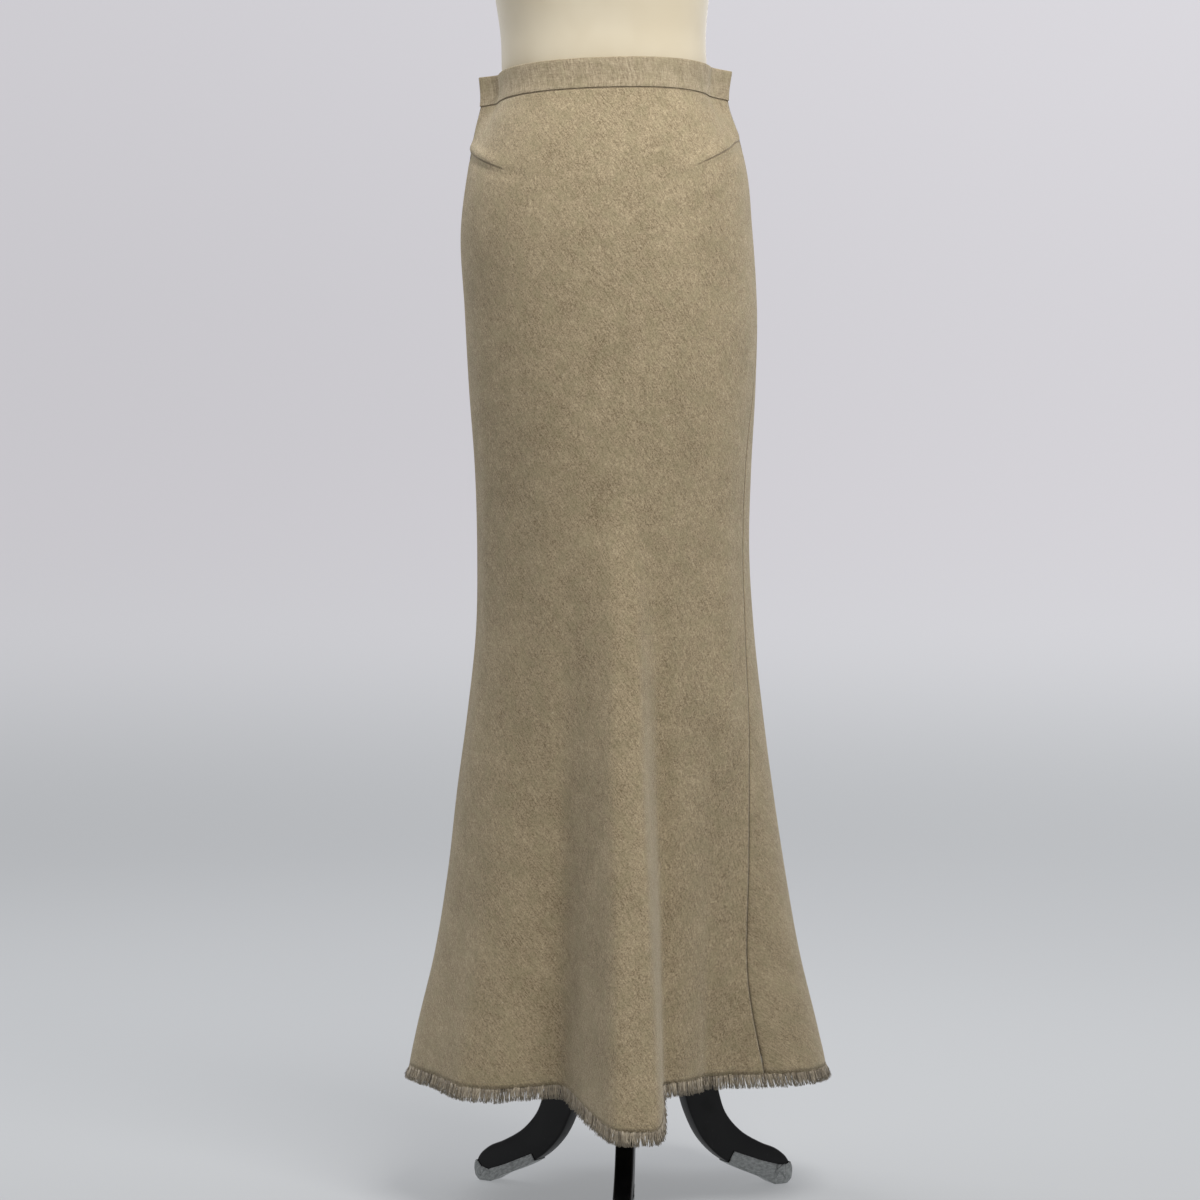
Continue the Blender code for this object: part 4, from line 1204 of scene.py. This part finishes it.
@dataclass
class DressForm:
    """Padded torso on a leaning post, with its cap and board."""

    post_x: float = 0.0125
    side_plane: float = 0.019
    lean: float = 0.0305
    lean_from: float = 0.30
    mean_radius: float = 0.12
    cols: int = 160
    rows: int = 300
    # height, half_width, front, back, squareness
    levels: tuple = (
        (0.8450, 0.1390, 0.1120, 0.1150, 2.10),
        (0.8750, 0.1415, 0.1160, 0.1190, 2.10),
        (0.9200, 0.1415, 0.1150, 0.1190, 2.15),
        (0.9700, 0.1395, 0.1110, 0.1140, 2.20),
        (1.0286, 0.1270, 0.1010, 0.1000, 2.25),
        (1.0700, 0.1110, 0.0925, 0.0880, 2.30),
        (1.0950, 0.1026, 0.0884, 0.0825, 2.30),
        (1.1300, 0.1024, 0.0883, 0.0815, 2.30),
        (1.1550, 0.1022, 0.0879, 0.0815, 2.30),
        (1.2000, 0.1068, 0.0930, 0.0840, 2.25),
        (1.2600, 0.1165, 0.1050, 0.0885, 2.20),
        (1.3200, 0.1285, 0.1200, 0.0940, 2.20),
        (1.3700, 0.1370, 0.1260, 0.0985, 2.20),
        (1.4200, 0.1450, 0.1160, 0.1020, 2.25),
        (1.4600, 0.1520, 0.1010, 0.1010, 2.30),
        (1.4850, 0.1530, 0.0890, 0.0960, 2.25),
        (1.5050, 0.1360, 0.0770, 0.0850, 2.15),
        (1.5200, 0.1060, 0.0660, 0.0730, 2.10),
        (1.5350, 0.0760, 0.0570, 0.0610, 2.05),
        (1.5550, 0.0580, 0.0520, 0.0540, 2.00),
        (1.5850, 0.0530, 0.0500, 0.0500, 2.00),
    )

    def middle(self, height: Array) -> Array:
        """x of the leaning axis."""
        return self.post_x - self.lean * (height - self.lean_from)

    def build(self) -> bpy.types.Object:
        """The torso: oval levels on the leaning axis, closed at the top and the bottom."""
        low, high = self.levels[0][0], self.levels[-1][0]
        heights = np.linspace(high, low, self.rows)[:, None]
        angles = np.linspace(-180, 180, self.cols, endpoint=False)[None]
        half, front, back, squareness = np.moveaxis(smooth_table(self.levels, heights), -1, 0)
        radius = oval_radius(angles, half, front, back, squareness)
        turned = np.radians(angles)
        x = self.middle(heights) + radius * np.sin(turned)
        y = self.side_plane - radius * np.cos(turned)
        points = np.stack(np.broadcast_arrays(x, y, heights), -1)
        shape = (self.rows, self.cols)
        maps = np.stack([np.broadcast_to(turned * self.mean_radius, shape),
                         np.broadcast_to(high - heights, shape)], -1)
        faces = grid_faces(*shape, closed_along=True).tolist()
        count = self.rows * self.cols
        faces += [list(range(self.cols)), list(range(count - 1, count - self.cols - 1, -1))]
        made = mesh_object("form_body", points, faces, {"cloth": maps})
        turn_outwards(made)
        made.data.set_sharp_from_angle(angle=math.radians(50))
        return made

    def dress(self, made: bpy.types.Object) -> None:
        """Finishes the torso and the CAD pieces that stay."""
        made.data.materials.append(FormJersey().make())
        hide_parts("form_torso")
        coat(("form_neck_cap", "form_board", "form_post", "form_hub"), BlackPaint("form_paint", 0.30).make())


@dataclass
class Stand:
    """Three shaped boards for legs, each foot wrapped in cloth tape."""

    place: tuple = (0.0125, 0.019, 0.0)
    thickness: float = 0.018
    easing: float = 0.0022
    tape_gap: float = 0.0003
    tape_wall: float = 0.0004
    crease_rise: float = 0.0006
    directions: tuple = (("front", -3.0), ("right", 117.0), ("left", -123.0))
    upper: tuple = (
        (0.0223, 0.3000), (0.0420, 0.2620), (0.0750, 0.2000), (0.0925, 0.1400), (0.0985, 0.1000),
        (0.1055, 0.0800), (0.1225, 0.0600), (0.1480, 0.0445), (0.1670, 0.0360), (0.1790, 0.0250),
        (0.1825, 0.0160), (0.1812, 0.0060), (0.1775, 0.0015),
    )  # fmt: skip
    under: tuple = (
        (0.1630, 0.0015), (0.1510, 0.0085), (0.1340, 0.0155), (0.1160, 0.0239), (0.0990, 0.0345),
        (0.0795, 0.0542), (0.0650, 0.0817), (0.0550, 0.1120), (0.0223, 0.1620),
    )  # fmt: skip
    # radius, height: upper border of the tape
    wide_border: tuple = (
        (0.1075, 0.0290), (0.1120, 0.0400), (0.1480, 0.0265), (0.1670, 0.0208), (0.1900, 0.0185),
    )  # fmt: skip
    narrow_border: tuple = (
        (0.1085, 0.0284), (0.1115, 0.0350), (0.1480, 0.0192), (0.1700, 0.0118), (0.1750, 0.0175),
        (0.1900, 0.0185),
    )  # fmt: skip

    def curve(self, points: tuple, steps: int) -> Array:
        """A smooth run through the given points."""
        known = np.array(points)
        pace = np.concatenate([[0.0], np.cumsum(np.linalg.norm(np.diff(known, axis=0), axis=1))])
        table = tuple((s, *p) for s, p in zip(pace, known))
        pieces = [np.linspace(a, b, steps + 1) for a, b in zip(pace, pace[1:])]
        return smooth_table(table, np.unique(np.concatenate(pieces)))

    def build_leg(self, side: str, direction: float) -> bpy.types.Object:
        """One board with eased edges."""
        outline = np.concatenate([self.curve(self.upper, 5), self.curve(self.under, 5)])
        return rounded_board(f"leg_{side}_board", outline, self.thickness, self.easing,
                             np.array(self.place), direction)

    def tape_path(self, border: Array) -> Array:
        """64 even places along the board's underside and toe, as far as the tape goes."""
        path = np.concatenate([self.curve(self.under, 12)[::-1], self.curve(self.upper[::-1], 12)])
        path = path[np.concatenate([[True], np.linalg.norm(np.diff(path, axis=0), axis=1) > 1e-6])]
        lid = np.interp(path[:, 0], border[:, 0], border[:, 1]) + 0.003
        path = path[(path[:, 0] > border[0, 0]) & (path[:, 1] < lid)]
        pace = running_length(path[None], 1)[0]
        even = np.linspace(0, pace[-1], 64)
        return np.column_stack([np.interp(even, pace, path[:, k]) for k in range(2)])

    def build_tape(self, side: str, direction: float, seed: int) -> bpy.types.Object:
        """Tape folded up round the foot: across the sole and up both sides to its border.

        The path is the underside and the toe; at each place the strip goes from the border on
        one side, down it, across the sole and up the other, and small creases lift it.
        """
        chance = np.random.default_rng(seed)
        border = np.array(self.narrow_border if side == "left" else self.wide_border)
        path = self.tape_path(border)
        heading = unit(np.gradient(path, axis=0))
        out = np.stack([heading[:, 1], -heading[:, 0]], axis=1)
        rise = self.border_rise(path, out, border)
        half = self.thickness / 2
        lie = self.tape_gap + self.tape_wall
        shares = np.linspace(1, 0, 9)
        rows = [(share, -half - lie) for share in shares]
        rows += [(0.0, y) for y in np.linspace(-half, half, 9)]
        rows += [(share, half + lie) for share in shares[::-1]]
        lines = [path - out * (rise * share)[:, None] + out * lie * (share == 0) for share, _ in rows]
        grid = np.array([np.column_stack([line, np.full(len(path), y)])
                         for line, (_, y) in zip(lines, rows)])
        grid[..., 2] += self.creases(chance, grid) * (np.abs(grid[..., 2]) > half)
        points = to_plane(grid.reshape(-1, 3), np.array(self.place), direction)
        flat = np.stack([running_length(grid, 1), running_length(grid, 0)], -1)
        faces = grid_faces(*grid.shape[:2])
        made = mesh_object(f"foot_tape_{side}_wrap", points, faces, {"cloth": flat})
        self.face_out(made, direction)
        add_wall(made, self.tape_wall)
        return made

    def creases(self, chance: np.random.Generator, grid: Array) -> Array:
        """Small lifts of the tape: six crossing sine waves, their hollows pressed flat."""
        waves = sum(chance.uniform(0.1, 0.4) * np.sin(chance.uniform(150, 700) * grid[..., 0]
                    + chance.uniform(100, 500) * grid[..., 1] + chance.uniform(0, 6.28)
                    + chance.uniform(-300, 300) * grid[..., 2]) for _ in range(6))
        return np.sign(grid[..., 2]) * np.clip(waves, 0, 1) * self.crease_rise

    def border_rise(self, path: Array, out: Array, known: Array) -> Array:
        """How far the tape reaches up the board's side, square to the path."""
        rise = np.full(len(path), 0.0005)
        for step in np.linspace(0.0005, 0.020, 60):
            tried = path - out * step
            under = tried[:, 1] < np.interp(tried[:, 0], known[:, 0], known[:, 1])
            rise = np.where(under & (rise > step - 0.0006), step, rise)
        return np.convolve(np.pad(rise, 3, mode="edge"), np.ones(7) / 7, mode="valid")

    def face_out(self, made: bpy.types.Object, direction: float) -> None:
        """Turns the strip's faces away from the board that it wraps."""
        centre = to_plane(np.array([[0.15, 0.02, 0.0]]), np.array(self.place), direction)[0]
        mesh = made.data
        normals = np.array([p.normal[:] for p in mesh.polygons])
        middles = np.array([p.center[:] for p in mesh.polygons])
        if ((middles - centre) * normals).sum() < 0:
            mesh.flip_normals()

    def build(self) -> dict:
        """Makes all legs and tapes, by the CAD node that each replaces."""
        made = {}
        for number, (side, direction) in enumerate(self.directions):
            made[f"leg_{side}"] = self.build_leg(side, direction)
            made[f"foot_tape_{side}"] = self.build_tape(side, direction, 20 + number)
        return made

    def dress(self, made: dict) -> None:
        """Paints the boards and finishes the tape."""
        paint, tape = BlackPaint("leg_paint", 0.36).make(), SilverTape().make()
        for node, piece in made.items():
            taped = node.startswith("foot_tape")
            piece.data.materials.append(tape if taped else paint)
            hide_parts(node)


@dataclass
class BackZip:
    """Concealed zip: its tapes and coil inside, its slider and drop-shaped tab at the top."""

    easing: float = 0.00014

    def eased_copy(self, node: str, body: str) -> bpy.types.Object:
        """A copy of a CAD node with its edges rounded."""
        made = bpy.data.objects.new(f"{node}_eased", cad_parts[node].data.copy())
        bpy.context.collection.objects.link(made)
        work = bmesh.new()
        work.from_mesh(made.data)
        bmesh.ops.remove_doubles(work, verts=work.verts, dist=1e-6)
        bmesh.ops.dissolve_limit(work, angle_limit=math.radians(1), verts=work.verts, edges=work.edges)
        work.to_mesh(made.data)
        work.free()
        bevel = made.modifiers.new("easing", "BEVEL")
        bevel.width = self.easing
        bevel.segments = 2
        bevel.limit_method = "ANGLE"
        made.data.shade_smooth()
        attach(made, body)
        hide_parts(node)
        return made

    def build(self) -> list:
        """The slider and the tab."""
        return [self.eased_copy("zip_slider", BODY), self.eased_copy("zip_pull", TAB_BODY)]

    def dress(self, made: list) -> None:
        """Finishes the metal and the CAD tapes that stay."""
        metal = ZipMetal().make()
        for piece in made:
            piece.data.materials.clear()
            piece.data.materials.append(metal)
        coat(("zip_tape_left", "zip_tape_right", "zip_coil"), ZipCloth().make())


@dataclass
class Studio:
    """Pale seamless paper all round, a soft key light high at the right, two fills, the camera."""

    eye: float = 0.5986
    camera_x: float = -0.017
    side_plane: float = 0.019
    distance: float = 2.8
    lens: float = 84.0
    floor_radius: float = 3.6
    sweep: float = 2.2
    wall: float = 4.2
    sides: int = 96
    # name, place, aim, size, power, colour
    lights: tuple = (
        ("key", (0.56, -1.26, 2.38), (0.0, -0.05, 0.90), (1.1, 0.9), 52.5, (1.0, 0.985, 0.965)),
        ("left", (-1.0, -0.3, 1.85), (-0.08, 0.0, 1.1), (0.6, 0.6), 3.4, (1.0, 0.99, 0.98)),
        ("fill", (-1.6, 1.3, 2.9), (0.0, 0.0, 0.8), (1.8, 1.2), 34.0, (0.97, 0.98, 1.0)),
    )
    air: tuple = (0.95, 0.955, 1.0, 1.0)
    air_light: float = 0.43

    def build_backdrop(self) -> None:
        """A round floor that sweeps up into a wall: a profile of revolution."""
        turns = np.linspace(0, np.pi / 2, 24)
        radius = np.concatenate([[0.001], np.linspace(0.5, self.floor_radius, 8),
                                 self.floor_radius + self.sweep * np.sin(turns[1:]),
                                 [self.floor_radius + self.sweep]])
        height = np.concatenate([np.zeros(9), self.sweep * (1 - np.cos(turns[1:])), [self.wall]])
        angles = np.linspace(0, 2 * np.pi, self.sides, endpoint=False)
        points = np.stack([radius[:, None] * np.sin(angles), -radius[:, None] * np.cos(angles),
                           np.broadcast_to(height[:, None], (len(radius), self.sides))], -1)
        mesh = bpy.data.meshes.new("studio_paper")
        faces = grid_faces(len(radius), self.sides, closed_along=True)[:, ::-1]
        mesh.from_pydata(points.reshape(-1, 3).tolist(), [], faces.tolist())
        mesh.shade_smooth()
        made = bpy.data.objects.new("studio_paper", mesh)
        bpy.context.collection.objects.link(made)
        mesh.materials.append(StudioPaper().make())

    def add_light(self, name: str, place: tuple, aim: tuple, size: tuple, power: float,
                  colour: tuple) -> None:
        """One soft area light turned to its aim."""
        data = bpy.data.lights.new(name, "AREA")
        data.shape = "RECTANGLE"
        data.size, data.size_y = size
        data.energy = power
        data.color = colour
        made = bpy.data.objects.new(name, data)
        made.location = place
        turn = np.array(aim) - np.array(place)
        made.rotation_euler = Vector(turn.tolist()).to_track_quat("-Z", "Y").to_euler()
        bpy.context.collection.objects.link(made)

    def build(self) -> None:
        """Backdrop, lights and camera."""
        self.build_backdrop()
        for light in self.lights:
            self.add_light(*light)
        world = bpy.data.worlds.new("studio_air")
        world.use_nodes = True
        background = world.node_tree.nodes["Background"]
        background.inputs[0].default_value = self.air
        background.inputs[1].default_value = self.air_light
        bpy.context.scene.world = world
        bpy.context.scene.view_settings.view_transform = "Standard"
        data = bpy.data.cameras.new("camera")
        data.sensor_width = 36.0
        data.lens = self.lens
        data.clip_end = 50.0
        made = bpy.data.objects.new("camera", data)
        made.location = (self.camera_x, self.side_plane - self.distance, self.eye)
        made.rotation_euler = (math.pi / 2, 0.0, 0.0)
        bpy.context.collection.objects.link(made)
        bpy.context.scene.camera = made


def main() -> None:
    """Builds every sub-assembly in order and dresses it."""
    logging.basicConfig(level=logging.INFO, format="%(message)s")
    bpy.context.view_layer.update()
    drape = Drape()
    darts = (
        Dart((-90.0, 1.0466), (-44.5, 1.0105), 0.0022),
        Dart((90.0, 1.0586), (35.5, 1.0105), 0.0012),
    )
    panels = (
        BodyPanel("skirt_front", -90.0, 90.0, 170, 235, (0.67, 1.00), 0.42, drape, darts=darts),
        BodyPanel("skirt_back_left", -180.0, -90.0, 84, 200, (0.32, 0.98), 0.21, drape),
        BodyPanel("skirt_back_right", 90.0, 180.0, 92, 200, (0.46, 0.99), 0.27, drape),
    )
    for panel in panels:
        made = panel.build()
        panel.dress(made)
        LOG.info("%s: %d points", made.name, len(made.data.vertices))
    band = WaistbandCloth(drape)
    band.dress(band.build())
    LOG.info("waistband made")
    hem = FrayedHem(drape)
    hem.dress(*hem.build())
    LOG.info("hem made, %.3f m round", hem.hem_length())
    form = DressForm()
    form.dress(form.build())
    LOG.info("form made")
    stand = Stand()
    stand.dress(stand.build())
    LOG.info("stand made")
    zipper = BackZip()
    zipper.dress(zipper.build())
    LOG.info("zip made")
    Studio().build()


if __name__ == "__main__":
    main()
